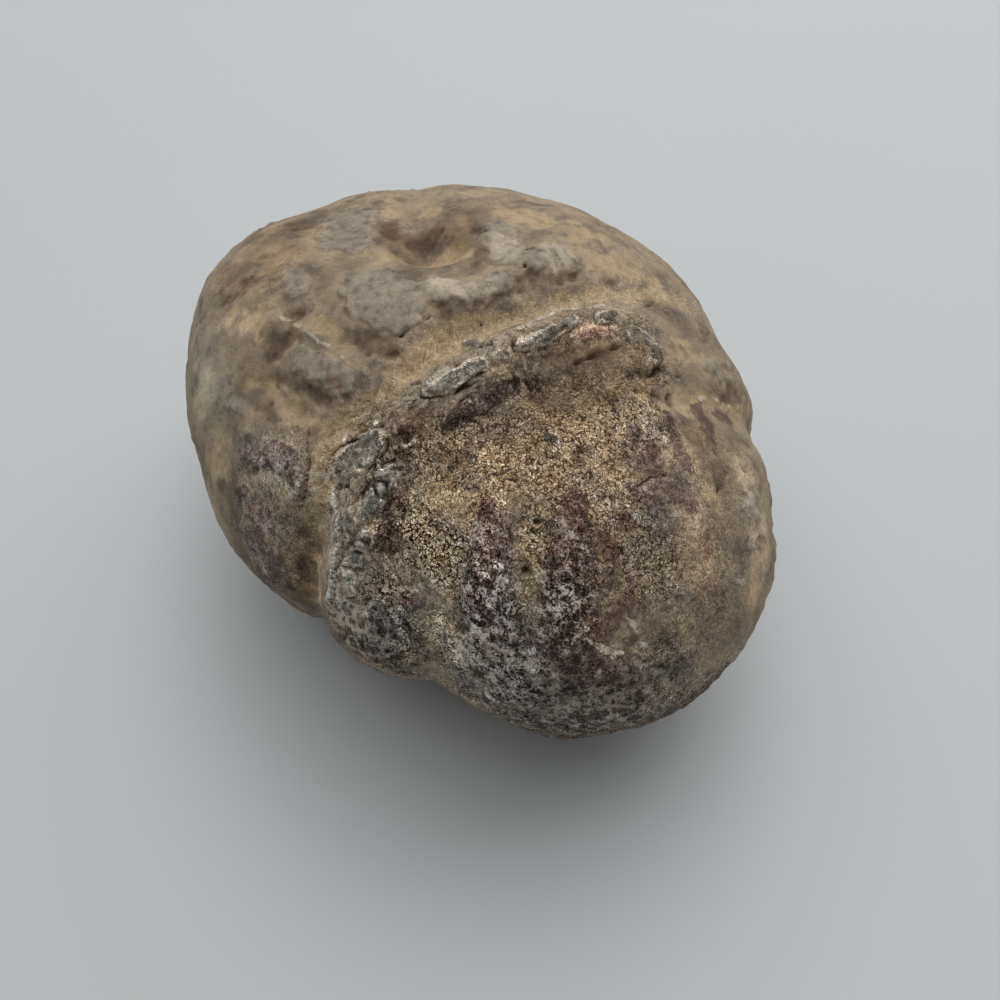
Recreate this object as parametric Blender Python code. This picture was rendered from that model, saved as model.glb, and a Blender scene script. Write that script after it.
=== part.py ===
"""A worn fossil sea urchin, lying on its side: one lump of limestone, with two lobes and a ledge between them.

The lump is a ball of square cells. Its corners are moved out to an egg form, and then in and out by the
swells and the lines of relief on its surface. Lengths are in millimetres and become metres at the end.
The origin is under the middle of the lump's box, on the surface that it rests on. +X runs along its length.
"""

import math

import bpy
import numpy as np
from mathutils import Vector, noise

LENGTH = 64.0
WIDTH = 47.5
CROWN = 18.6  # from the middle of the lump to its top
BELLY = 19.9  # from the middle to the lowest point, before the resting face is worn flat
MIDDLE = 18.6  # height of the middle above the resting face
CELLS = 28  # cells along each edge of the starting cube
CROWDING = 0.2  # how far cells are drawn towards the face with the ledge, where the relief is finer

# The face with the ledge looks this way from the middle. Every place on the lump is given as degrees
# across and degrees up from there, as on a globe. A degree covers about 0.46 mm.
FACE_AZIMUTH = 52.5
FACE_ELEVATION = 50.0

# Rise of the lump's edge over the plain egg in mm, as seen from the face, at every 15 degrees round it
# from the right hand side, anticlockwise.
EDGE_RISES = [
    -0.1, 0.2, 1.0, 1.4, 1.3, -0.1, 0.0, -2.0, -1.5, 0.1, 0.8, 0.5,
    0.0, 0.6, 0.6, -0.1, -0.7, -2.4, -1.7, 0.8, 0.4, 0.1, -0.3, -1.0,
]
EDGE_ANGLE = 80  # degrees from the middle of the face out to the edge
EDGE_FADE = 28  # degrees over which the rise of the edge fades, towards the face
EDGE_FADE_BEHIND = 45

# name, (across, up), spread in degrees, rise in mm
SWELLS = [
    ("dome", (17, -27), 26, 1.6),
    ("small lobe", (-20, -43), 12, 0.9),
    ("upper left plate", (-21, 33), 8, 0.5),
    ("upper right plate", (24, 47), 7, 0.4),
    ("left plate", (-35, 18), 7, 0.5),
    ("bump at the right", (51, 8), 6, 0.4),
]

# name, half width in degrees, rise in mm, places that the line runs through
LINES = [
    (
        "ledge", 4.5, 1.3,
        [(-45, -62), (-33, -42), (-28, -23), (-22, -7), (-10, 9), (8, 20), (26, 25), (42, 25), (49, 18)],
    ),
    (
        "groove behind the ledge", 5, -1.8,
        [(-60, -85), (-38, -46), (-33, -24), (-28, -3), (-14, 15), (4, 27), (29, 33), (52, 38)],
    ),
    ("right seam", 6, -1.5, [(36, 11), (46, 5), (58, 1), (74, -4), (92, -8)]),
    ("basin under the ledge", 9, -1.6, [(-20, -22), (-13, -6), (4, 7), (26, 13), (38, 12)]),
    ("left pit and its groove", 5, -0.9, [(-60, 13), (-50, 11), (-40, 5), (-30, 1)]),
    ("upper pit", 7, -1.9, [(-24, 62), (-11, 57), (1, 54)]),
    ("roll under the upper pit", 4, 0.9, [(-14, 40), (-3, 36), (8, 38), (18, 45), (22, 52)]),
    ("first finger", 3.5, 0.4, [(2.5, -12), (2, -27), (0, -38)]),
    ("second finger", 4.5, 0.4, [(17, -11), (14, -26), (13, -38)]),
    ("valley between the fingers", 3, -0.4, [(11, -13), (9, -22), (7, -31)]),
    ("valley beside the small lobe", 5, -1.1, [(-6, -22), (-5, -38), (-8, -50), (-12, -66)]),
    ("bar in the basin", 3, 0.5, [(-7, 2), (2, 6), (11, 9)]),
]
LINE_TAPER = 0.2  # share of a line's length over which each end fades out

# The far side is a plainer shell: low ribs run in over the edge to a shallow dimple opposite the face.
RIBS = 10
RIB_RISE = 0.35
RIBS_FROM, RIBS_FULL = 75, 105  # degrees from the face where the ribs start, and where they are full
DIMPLE_SPREAD = 14
DIMPLE_DEPTH = 1.1

WEAR_RISE = 0.4  # the whole lump is unevenly worn, by this much in mm either way
WEAR_SIZE = 8.0  # and over this length

LIMESTONE_COLOUR = (0.24, 0.195, 0.15, 1.0)
LIMESTONE_ROUGHNESS = 0.85


def face_axes():
    """Unit vectors out of the face, to its right and up it."""
    turn, tilt = math.radians(FACE_AZIMUTH), math.radians(FACE_ELEVATION)
    out = np.array([math.sin(turn) * math.cos(tilt), -math.cos(turn) * math.cos(tilt), math.sin(tilt)])
    right = np.array([math.cos(turn), math.sin(turn), 0.0])
    return out, right, np.cross(out, right)


def places_of(directions):
    """Degrees across and up from the face, for unit vectors from the middle."""
    out, right, up = face_axes()
    angle = np.degrees(np.arccos(np.clip(directions @ out, -1, 1)))
    across, rise = directions @ right, directions @ up
    length = np.maximum(np.hypot(across, rise), 1e-9)
    return np.column_stack([angle * across / length, angle * rise / length])


def bump(distance, spread):
    """1 in the middle, fading smoothly to 0 past the spread."""
    return np.exp(-((distance / spread) ** 2))


def swell_rise(places, centre, spread, height):
    return height * bump(np.linalg.norm(places - centre, axis=1), spread)


def line_rise(places, half_width, height, points):
    """Rise in mm from one line, round in section and fading out at its ends."""
    points = np.array(points, float)
    steps = np.linalg.norm(np.diff(points, axis=0), axis=1)
    nearest = np.full(len(places), np.inf)
    share = np.zeros(len(places))
    for i, step in enumerate(steps):
        start, run = points[i], points[i + 1] - points[i]
        along = np.clip((places - start) @ run / step**2, 0, 1)
        away = np.linalg.norm(places - start - along[:, None] * run, axis=1)
        closer = away < nearest
        nearest[closer] = away[closer]
        share[closer] = ((steps[:i].sum() + along * step) / steps.sum())[closer]
    fade = np.clip(np.minimum(share, 1 - share) / LINE_TAPER, 0, 1)
    return height * fade * bump(nearest, half_width)


def egg_radius(directions):
    """Distance from the middle to the plain egg form, in mm."""
    upright = np.where(directions[:, 2] > 0, CROWN, BELLY)
    level = np.ones(len(directions))
    shares = directions / np.column_stack([level * LENGTH / 2, level * WIDTH / 2, upright])
    return 1 / np.linalg.norm(shares, axis=1)


def edge_rise(places):
    """Rise in mm from the lump's edge, smooth between the places where it is given."""
    clock = np.degrees(np.arctan2(places[:, 1], places[:, 0])) / (360 / len(EDGE_RISES))
    before = np.floor(clock).astype(int)
    part = clock - before
    part = part * part * (3 - 2 * part)
    rises = np.array(EDGE_RISES)
    count = len(rises)
    rise = rises[before % count] * (1 - part) + rises[(before + 1) % count] * part
    past = np.hypot(*places.T) - EDGE_ANGLE
    return rise * bump(past, np.where(past < 0, EDGE_FADE, EDGE_FADE_BEHIND))


def far_side_rise(places):
    """Rise in mm from the ribs of the far side and the dimple that they run to."""
    angle = np.hypot(*places.T)
    from_dimple = 180 - angle
    share = np.clip((angle - RIBS_FROM) / (RIBS_FULL - RIBS_FROM), 0, 1)
    share *= 1 - bump(from_dimple, DIMPLE_SPREAD)
    ribs = RIB_RISE * share * np.cos(RIBS * np.arctan2(places[:, 1], places[:, 0]))
    return ribs - DIMPLE_DEPTH * bump(from_dimple, DIMPLE_SPREAD)


def worn(points):
    """Rise in mm from uneven wear, at points in mm."""
    return WEAR_RISE * np.array([noise.noise(Vector(point) / WEAR_SIZE) for point in points])


def surface_radius(directions):
    """Distance from the middle to the surface, in mm."""
    places = places_of(directions)
    radius = egg_radius(directions) + edge_rise(places) + far_side_rise(places)
    for _, centre, spread, height in SWELLS:
        radius += swell_rise(places, centre, spread, height)
    for _, half_width, height, points in LINES:
        radius += line_rise(places, half_width, height, points)
    return radius + worn(directions * radius[:, None])


def crowded(directions):
    """The same directions, drawn a little towards the face."""
    out = face_axes()[0]
    angle = np.arccos(np.clip(directions @ out, -1, 1))
    sideways = directions - np.outer(directions @ out, out)
    sideways /= np.maximum(np.linalg.norm(sideways, axis=1), 1e-9)[:, None]
    nearer = angle - CROWDING * np.sin(angle)
    return np.cos(nearer)[:, None] * out + np.sin(nearer)[:, None] * sideways


def ball_of_cells():
    """A cube of square cells, as an object, and the unit vectors of its corners once it is a ball."""
    bpy.ops.mesh.primitive_cube_add(size=2)
    cube = bpy.context.object
    bpy.ops.object.mode_set(mode="EDIT")
    bpy.ops.mesh.subdivide(number_cuts=CELLS - 1)
    bpy.ops.object.mode_set(mode="OBJECT")
    corners = np.empty(len(cube.data.vertices) * 3)
    cube.data.vertices.foreach_get("co", corners)
    corners = np.tan(corners.reshape(-1, 3) * math.pi / 4)  # even cells once they are on the ball
    return cube, corners / np.linalg.norm(corners, axis=1)[:, None]


def limestone():
    material = bpy.data.materials.new("limestone")
    material.use_nodes = True
    shader = material.node_tree.nodes["Principled BSDF"]
    shader.inputs["Base Color"].default_value = LIMESTONE_COLOUR
    shader.inputs["Roughness"].default_value = LIMESTONE_ROUGHNESS
    shader.inputs["Metallic"].default_value = 0.0
    return material


def build_lump():
    lump, directions = ball_of_cells()
    directions = crowded(directions)
    points = directions * surface_radius(directions)[:, None]
    points[:, 2] = np.maximum(points[:, 2] + MIDDLE, 0)
    points[:, :2] -= (points.min(axis=0) + points.max(axis=0))[:2] / 2
    lump.data.vertices.foreach_set("co", (points / 1000).ravel())
    lump.data.update()
    lump.name = "sea_urchin_fossil"
    lump.data.shade_smooth()
    lump.data.materials.append(limestone())


def clear_scene():
    for thing in list(bpy.data.objects):
        bpy.data.objects.remove(thing)


clear_scene()
build_lump()
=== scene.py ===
"""A worn fossil sea urchin, lying on its side on a pale table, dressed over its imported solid."""

import math

import bpy
import numpy as np
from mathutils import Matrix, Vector, noise


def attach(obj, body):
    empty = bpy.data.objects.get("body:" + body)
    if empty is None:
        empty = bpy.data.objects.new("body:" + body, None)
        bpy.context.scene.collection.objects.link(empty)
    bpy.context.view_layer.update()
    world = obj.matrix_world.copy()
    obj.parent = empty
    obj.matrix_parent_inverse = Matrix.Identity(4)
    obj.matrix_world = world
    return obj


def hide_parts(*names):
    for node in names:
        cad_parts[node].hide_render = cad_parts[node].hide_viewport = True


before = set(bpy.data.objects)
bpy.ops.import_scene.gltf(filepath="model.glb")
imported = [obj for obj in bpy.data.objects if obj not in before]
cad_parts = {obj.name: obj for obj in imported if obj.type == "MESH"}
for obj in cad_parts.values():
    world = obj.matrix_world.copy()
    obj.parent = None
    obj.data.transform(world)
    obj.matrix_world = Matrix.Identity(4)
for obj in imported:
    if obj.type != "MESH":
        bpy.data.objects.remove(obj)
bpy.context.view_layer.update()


# THE CAMERA
# It looks down on the stone at 54 degrees, from 11 cm away, as someone does who holds a phone over it.

camera_data = bpy.data.cameras.new("camera")
camera_data.lens = 36
camera_data.sensor_width = 36
camera_data.clip_start = 0.01
camera = bpy.data.objects.new("camera", camera_data)
camera.location = (0.04847, -0.03722, 0.09139)
camera.rotation_euler = (math.radians(36), 0, math.radians(50.26))
bpy.context.scene.collection.objects.link(camera)
bpy.context.scene.camera = camera


# THE STONE
# A sea urchin's shell filled and replaced by limestone, worn to a lump with two lobes and a ledge.
# Its skin is the solid's own form, rounded off, with the finer relief of shell, flakes and sediment on it.

MIDDLE = np.array([-0.192, -0.177, 18.6])  # mm, the point that the places below are seen from
FACE_AZIMUTH = 52.5
FACE_ELEVATION = 50.0
BALL_RADIUS = 45  # mm, clear of the solid all round
CROWDING = 0.42  # how far the cells are drawn towards the face with the ledge, which has the finest relief


def select_only(thing):
    bpy.ops.object.select_all(action="DESELECT")
    thing.select_set(True)
    bpy.context.view_layer.objects.active = thing


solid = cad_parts["sea_urchin_fossil"]
rounded_solid = bpy.data.objects.new("rounded_solid", solid.data.copy())
bpy.context.scene.collection.objects.link(rounded_solid)
select_only(rounded_solid)
bpy.ops.object.mode_set(mode="EDIT")
bpy.ops.mesh.select_all(action="SELECT")
bpy.ops.mesh.remove_doubles(threshold=0.00001)
bpy.ops.mesh.tris_convert_to_quads(face_threshold=math.radians(60), shape_threshold=math.radians(60))
bpy.ops.object.mode_set(mode="OBJECT")
rounding = rounded_solid.modifiers.new("rounding", "SUBSURF")
rounding.levels = 2
rounding.render_levels = 2
bpy.ops.object.modifier_apply(modifier="rounding")

bpy.ops.object.select_all(action="DESELECT")
bpy.ops.mesh.primitive_cube_add(size=2)
stone = bpy.context.object
stone.name = "urchin_stone"
bpy.ops.object.mode_set(mode="EDIT")
bpy.ops.mesh.subdivide(number_cuts=15)
bpy.ops.mesh.subdivide(number_cuts=7)
bpy.ops.object.mode_set(mode="OBJECT")

turn = math.radians(FACE_AZIMUTH)
tilt = math.radians(FACE_ELEVATION)
face_out = np.array([math.sin(turn) * math.cos(tilt), -math.cos(turn) * math.cos(tilt), math.sin(tilt)])
face_right = np.array([math.cos(turn), math.sin(turn), 0.0])
face_up = np.cross(face_out, face_right)


def unit(vectors):
    return vectors / np.maximum(np.linalg.norm(vectors, axis=1), 1e-9)[:, None]


def corners_of(thing):
    flat = np.empty(len(thing.data.vertices) * 3)
    thing.data.vertices.foreach_get("co", flat)
    return flat.reshape(-1, 3)


# The cube becomes a ball of even cells, which are then drawn towards the face.
ball = unit(np.tan(corners_of(stone) * math.pi / 4))
from_face = np.arccos(np.clip(ball @ face_out, -1, 1))
sideways = unit(ball - np.outer(ball @ face_out, face_out))
nearer = from_face - CROWDING * np.sin(from_face)
ball = np.cos(nearer)[:, None] * face_out + np.sin(nearer)[:, None] * sideways
stone.data.vertices.foreach_set("co", ((MIDDLE + ball * BALL_RADIUS) / 1000).ravel())
stone.data.update()

wrapping = stone.modifiers.new("wrapping", "SHRINKWRAP")
wrapping.target = rounded_solid
wrapping.wrap_method = "PROJECT"
wrapping.use_negative_direction = True
wrapping.use_positive_direction = False
select_only(stone)
bpy.ops.object.modifier_apply(modifier="wrapping")
bpy.data.objects.remove(rounded_solid)

# Places on the stone are degrees across and degrees up from the middle of the face, as on a globe.
# A degree is about 0.46 mm.
points = corners_of(stone) * 1000
directions = unit(points - MIDDLE)
angle = np.degrees(np.arccos(np.clip(directions @ face_out, -1, 1)))
level = directions @ face_right
upward = directions @ face_up
reach = np.maximum(np.hypot(level, upward), 1e-9)
places = np.column_stack([angle * level / reach, angle * upward / reach])


def noise_at(size, shift):
    """Smooth noise from about -1 to 1 at each corner, with lumps of this size in mm."""
    return np.array([noise.noise(point) for point in (points / size + shift).tolist()])


# name, share of the area that it covers, and the line it follows: (across, up, half width) in degrees
# Sediment is the stone's own pale tan infill. On the lit ridge and on the lower wall of the upper pit it is also
# painted light, paler where the surface faces the lamps.
SEDIMENT_AND_PAINTED_LIGHT = [
    (
        "groove behind the ledge", 1,
        [
            (-30.5, 1.5, 1.9), (-23, 7.5, 2.3), (-17, 15, 3.1), (-7.5, 22, 4.3), (3, 27, 3.9),
            (14.5, 30.5, 2.6), (25, 33, 2.4), (35.5, 34.5, 2.8), (48, 36, 2.5), (57, 33, 2.3),
        ],
    ),
    (
        "groove at the lower left", 1,
        [
            (-38.5, -40, 2.8), (-36, -28, 2), (-35, -19, 2.2), (-34, -10, 2.1), (-33.5, -3.5, 2.2),
            (-30.5, 1.5, 1.9),
        ],
    ),
    ("ledge top", 0.8, [(-28.5, -3, 1.4), (-23, 2.5, 1.6)]),
    ("lower wall of the upper pit", 1, [(-9.5, 57, 3), (-4.5, 56, 4.6), (0, 50, 2.3)]),
    ("left of the upper pit", 1, [(-27, 53, 2.9), (-24.5, 56, 2.6)]),
    ("above the upper pit", 1, [(-28, 85, 2.8), (-26.5, 76.5, 2.2)]),
    ("bright patch by the top", 1, [(14, 69.5, 4.4), (20.5, 70, 5.7), (25, 64, 3.3)]),
    ("top edge", 0.5, [(-4, 82, 4.1), (5.5, 85.5, 2.8)]),
    ("upper right", 0.7, [(33, 62, 3.4), (36, 52.5, 6.5), (37, 45, 5.1), (47.5, 40, 2.4)]),
    ("left top", 0.8, [(-62, 31, 2.8), (-55.5, 29, 3.5), (-52, 25.5, 2.2)]),
    ("between the left plates", 1, [(-39, 28.5, 2.2), (-34.5, 25.5, 2.2), (-30, 22, 1.5)]),
    (
        "left pit", 0.9,
        [
            (-56.5, 13.5, 1.7), (-52, 13.5, 2.2), (-49.5, 9, 1.6), (-44.5, 5.5, 1.8), (-38, 2.5, 2.2),
            (-32.5, 2, 2.4),
        ],
    ),
    ("olive stain", 0.7, [(-45.5, 8, 2.2), (-42, 7.5, 2.5)]),
    ("left shoulder", 0.5, [(-56.5, 49, 4.8), (-51, 38.5, 2.9)]),
    ("far left", 0.5, [(-71, 16.5, 1.7), (-71.5, 7, 2.2)]),
    ("far left blob", 0.6, [(-68, 0.5, 3.1), (-63.5, -3, 3.5), (-64, -10, 2.6)]),
    ("pale spots on the left", 0.7, [(-48, -10, 1.6), (-44, -10, 2), (-41.5, -13, 1.4)]),
    ("pale spot below", 0.5, [(-51, -17.5, 1.8), (-53, -17.5, 1.8)]),
    (
        "basin", 0.8,
        [(-11, -18, 3.5), (-4.5, -12.5, 4.3), (5, -7.5, 4.8), (14, -4, 4.8), (25, 1, 4.5), (34, 5, 3)],
    ),
    ("left flank of the dome", 0.7, [(-8.5, -19, 3.4), (-6.5, -25.5, 3.4), (-6.5, -22, 3)]),
    ("right of the basin", 0.8, [(23.5, 1, 1.9), (23.5, -8.5, 2.3), (28.5, -9.5, 0.8)]),
    ("right seam", 1, [(36.5, 4, 1.4), (46, 3.5, 1.5), (53, 5.5, 1.2), (64, 3.5, 1.6), (72, 2.5, 1.6)]),
    ("right flank", 0.9, [(41, -10.5, 1.5), (40.5, -13, 1.3)]),
    (
        "valley between the fingers", 1,
        [(10, -14, 1.4), (9.5, -17, 1.5), (8, -20.5, 1), (7.5, -25, 1.2), (7.5, -27, 0.9)],
    ),
    ("right end of the ledge", 0.5, [(43, 16.5, 1.8), (53, 19, 3.1)]),
    ("yellow spot", 0.8, [(36, 16.5, 1.1)]),
    ("smooth tan by the small lobe", 0.8, [(-9, -37.5, 1.7), (-7, -35, 2.2), (-3, -36, 2)]),
    ("speckled tan by the foot", 0.6, [(19, -32.5, 1.4)]),
    ("lit ridge", 0.6, [(45.5, 43.5, 2.3), (51.5, 38.5, 2.6), (56, 31.5, 2.5)]),
    ("low right tan", 0.5, [(48, -30, 1.1), (45, -28.5, 1.1)]),
    ("low tan", 0.5, [(33, -32, 1.1)]),
    ("beige on the left edge", 0.6, [(-64.5, -1, 3.6), (-67.5, -8.5, 2.8)]),
    ("beige at the upper left edge", 0.5, [(-69, 15.5, 1.8), (-71.5, 16, 1.8)]),
    ("beige at the top", 0.5, [(-12, 75.5, 4), (-14.5, 81.5, 4)]),
    ("right shoulder beige", 0.4, [(54, 19, 3.3), (49.5, 16, 3.3)]),
]
# Stains are the stone's own darker patches, and some of them are painted shade: the upper pit, the line under the
# roll, under the ledge and under the red band are darkened where shade falls. The wide ones below the foot, below
# the left face and along the low right rim make the underside darker towards the bottom.
STAINS_AND_PAINTED_SHADE = [
    ("upper pit", 1, [(-19, 66.5, 2.3), (-15, 66.5, 3.2), (-9.5, 66, 2)]),
    ("left of the upper pit", 0.9, [(-25.5, 66, 2.8), (-26, 71, 2.8)]),
    ("right of the upper pit", 0.6, [(2.5, 65.5, 2), (4.5, 58.5, 2.4), (4.5, 51.5, 1.8), (3, 45, 2.1)]),
    ("under the top right plate", 0.8, [(13.5, 38, 1.7), (17, 39.5, 2.2)]),
    ("beside it", 0.7, [(23, 38.5, 1.5), (30.5, 43.5, 1.5)]),
    ("spot at the upper right", 0.8, [(38.5, 39.5, 1.1), (41.5, 39, 1.4)]),
    (
        "line under the roll", 0.8,
        [(-7.5, 31, 0.8), (-5, 30, 1), (-0.5, 31.5, 0.8), (4, 32.5, 0.8), (10, 35, 0.9)],
    ),
    ("holes under the line", 0.5, [(-6, 29, 1.2), (-2.5, 28.5, 1.4)]),
    ("left blotch", 0.6, [(-65.5, 38.5, 3.3), (-60, 41, 3)]),
    ("upper left blotch", 0.6, [(-54.5, 69.5, 4.1), (-51, 74, 3)]),
    ("left edge blotch", 0.5, [(-75.5, 34.5, 1.7), (-79, 36, 1.7)]),
    ("by the left plate", 0.7, [(-43.5, 32, 3.1)]),
    ("over the left plate", 0.8, [(-52.5, 24.5, 2.5), (-48.5, 21, 3.3), (-44, 23.5, 2.2)]),
    ("beside the plate", 0.8, [(-26.5, 24, 2.3), (-22.5, 21, 3.4), (-20, 19, 2.1)]),
    ("under the left plate", 0.6, [(-34.5, 12.5, 1.5), (-28.5, 11, 1.3)]),
    ("beside the left pit", 0.6, [(-54, 8.5, 1.9), (-39.5, 0, 1.2), (-36.5, 0.5, 1.2)]),
    (
        "foot of the groove", 0.9,
        [(-37.5, -22.5, 1.8), (-35.5, -24.5, 1.7), (-38, -31, 2.1), (-39.5, -36.5, 2.2)],
    ),
    ("left flank", 0.7, [(-55.5, -6.5, 1.8), (-44, -7, 2.1)]),
    ("lower left", 0.8, [(-43.5, -24, 1.8), (-43, -34, 1.9)]),
    ("under the red band", 0.9, [(24.5, 15, 0.9), (28, 16, 1.1), (33.5, 17, 0.9)]),
    ("under the ledge", 0.5, [(14.5, 7, 1.8), (20.5, 9.5, 2.1), (26.5, 10.5, 1.7), (30, 9, 1.3)]),
    ("right pits", 0.9, [(36, 11.5, 1.1), (38.5, 10.5, 1), (42.5, 12.5, 1.3)]),
    ("small right pits", 0.8, [(34, 7, 0.8)]),
    ("small right pit", 0.8, [(39.5, 6.5, 0.7), (38, 6, 0.7)]),
    ("outer right pit", 0.8, [(44, 5.5, 0.7), (42.5, 5, 0.7)]),
    ("right bump", 0.7, [(56, 10.5, 2.1), (58.5, 6, 1.6), (65.5, 7, 2.3)]),
    ("right shoulder", 0.5, [(62.5, 23, 1.5), (58.5, 21, 1.5)]),
    ("basin spots", 0.7, [(19.5, -4.5, 0.9), (21, -4.5, 0.9)]),
    ("basin stain", 0.6, [(-4.5, -7, 1.2)]),
    ("fibres at the left", 0.6, [(-14.5, 1.5, 2), (-12.5, 0.5, 1.8), (-14, -3, 1.6)]),
    ("beside the teal flakes", 0.8, [(-14.5, -11, 1.6), (-17, -14, 1.3), (-14.5, -15.5, 1.1)]),
    ("brown lens", 0.7, [(-18.5, -20.5, 0.9), (-15.5, -20.5, 1.4), (-13, -20.5, 1)]),
    ("valley pit", 0.9, [(7.5, -22, 1)]),
    ("right streak", 0.7, [(45, -8.5, 1), (43.5, -12, 1)]),
    ("spots down the right", 0.6, [(37.5, -18, 0.7), (36, -21.5, 0.6), (35.5, -24, 0.7)]),
    ("foot of the small lobe", 0.5, [(-10, -41.5, 1.8)]),
    ("edge of the small lobe", 0.6, [(-24.5, -34.5, 1.5)]),
    ("bottom right", 0.5, [(24.5, -42, 1.6), (26.5, -41, 1.5)]),
    ("darker edge of the upper right plate", 0.6, [(31, 44, 1.5), (27, 40, 1.4), (21.5, 38, 1.3)]),
    ("pinkish patch", 0.4, [(-59, -12, 2.4), (-62.5, -12.5, 2.4)]),
    ("left face, upper", 0.5, [(-50.5, -6.5, 2.2)]),
    ("left face, lower", 0.5, [(-44, -7, 1.8)]),
    ("under the long plate", 0.7, [(-48.5, 14.5, 1.7), (-41, 11, 1.7), (-33.5, 8, 1.6), (-28, 8, 1)]),
    ("below the foot", 0.8, [(-22, -60, 8), (0, -68, 10), (20, -62, 10), (42, -50, 9)]),
    ("below the left face", 0.7, [(-62, -34, 7), (-52, -48, 8), (-42, -60, 8)]),
    ("low right rim", 0.6, [(58, -42, 7), (66, -28, 7), (72, -10, 7)]),
    ("spots behind the ledge", 0.4, [(2.5, 28, 0.9), (4.5, 29, 0.6)]),
    ("spots behind the ledge, left", 0.6, [(-3.5, 25, 0.7), (-4.5, 28, 0.9)]),
]
GREY_PLATES = [
    ("top left", 0.9, [(-41.5, 72.5, 6.7), (-36.5, 77, 5.4), (-40.5, 62, 7), (-34.5, 59.5, 5.3)]),
    ("round plate", 1, [(-25.5, 38, 7.8), (-20.5, 33, 8), (-16, 31, 5.8), (-18, 26.5, 3.5)]),
    ("left plate", 0.9, [(-47, 43.5, 3.2), (-44, 38.5, 3.6)]),
    ("long plate", 0.9, [(-40, 18, 3.3), (-33, 14.5, 4.3), (-28.5, 12, 2.9)]),
    (
        "top right plate", 0.9,
        [(10, 60.5, 5.1), (11, 48, 5.9), (16.5, 45, 4.4), (23.5, 46, 4.8), (27, 44, 3.6)],
    ),
    ("roll", 1, [(-9.5, 37.5, 2.9), (-4.5, 34.5, 2.4), (1.5, 34, 2.2), (9, 37.5, 2.2)]),
    ("left edge", 0.5, [(-61, 9.5, 2.8), (-54.5, 2, 2.3)]),
    ("right edge", 0.5, [(51.5, -14.5, 2.5), (50, -21, 2.2)]),
    ("valley beside the small lobe", 0.4, [(-6.5, -36, 2.3), (-4.5, -39.5, 2.6)]),
    ("right flank", 0.4, [(31.5, -25.5, 2.5)]),
    ("right of the second finger", 0.3, [(26.5, -15, 1.8), (29, -17.5, 1.8)]),
    ("right bump", 0.5, [(66.5, 14.5, 3.4), (57, 11, 3.4)]),
    ("left flank bump", 0.5, [(-53.5, -20.5, 2.9), (-58.5, -22, 2.9)]),
    ("right flank plates", 0.5, [(47, -14, 3.4), (46.5, -21.5, 2.3)]),
]
SHELL = [
    (
        "first finger", 1,
        [
            (2, -12, 0.6), (2.5, -14.5, 1.8), (3, -17, 2.9), (2.5, -20.5, 3.3), (1.5, -24, 3.2),
            (1, -28.5, 3.3), (1.5, -31.5, 3.5),
        ],
    ),
    (
        "second finger", 1,
        [
            (16.5, -10.5, 0.8), (16, -12.5, 2.1), (15.5, -14.5, 2.5), (15, -18, 3), (14.5, -21, 3.5),
            (14, -24, 3.5), (14, -27, 3.7),
        ],
    ),
    (
        "foot of the dome", 1,
        [(2, -34.5, 4.3), (6.5, -36.5, 5), (12, -35, 5.4), (17.5, -35, 4.1), (21.5, -36, 2.9)],
    ),
    (
        "right of the second finger", 0.6,
        [(19.5, -16.5, 1.4), (20.5, -20, 2), (20.5, -25.5, 2.6), (21, -30, 2.4)],
    ),
    ("bar in the basin", 1, [(-5.5, 1, 1.1), (-2.5, 3.5, 2.2), (2, 6, 2.7), (6, 8.5, 2.6), (10, 10, 1.7)]),
    ("knob", 1, [(14.5, 10.5, 1.7)]),
    ("red band", 0.3, [(23, 19, 0.8), (25.5, 20.5, 2), (29, 21, 2.1), (33, 21, 1.5)]),
    ("ribbed patch", 1, [(30.5, -1.5, 1.1), (31.5, -4, 2.2), (32, -6.5, 1.9)]),
    ("second ribs", 0.9, [(38, 1.5, 1.2), (37.5, -2.5, 1.6), (37.5, -6, 1.5), (38, -8, 0.9)]),
    ("plates by the seam", 0.9, [(50.5, 4, 1.3), (49.5, 0.5, 2.2), (46, -3, 1.6)]),
    ("small plate by the seam", 0.8, [(55.5, 1.5, 1.4), (58.5, 0.5, 1.2)]),
    ("patch on the right flank", 0.8, [(27.5, -12, 1.4), (32, -11.5, 2.3), (35.5, -13, 1.7)]),
    ("left face", 0.8, [(-53, -3, 3.4), (-44.5, -4.5, 3.3), (-38, -7.5, 2.4), (-37.5, -12, 1.8)]),
    (
        "lower left face", 0.8,
        [
            (-55.5, -14, 2.7), (-46, -19, 2.7), (-50.5, -24.5, 4.4), (-44.5, -28, 3.4),
            (-54, -36.5, 3.1),
        ],
    ),
    ("top of the small lobe", 1, [(-12.5, -30.5, 1.1), (-10.5, -30, 1.3)]),
    ("beside the small lobe", 0.9, [(-11, -37, 1.3)]),
    ("low on the right", 0.6, [(29, -31.5, 2.1), (32, -34.5, 1.5)]),
    ("fibrous shell", 0.6, [(-16, 1, 1.2), (-13, 0, 1.4)]),
    ("fan of fibres", 0.6, [(-17.5, -21, 1.2), (-17, -18, 1.3)]),
    ("rim of the foot", 0.7, [(3.5, -46, 2.7), (9.5, -47, 2.6), (19, -46.5, 2.7), (24.5, -42.5, 2.8)]),
]
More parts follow.
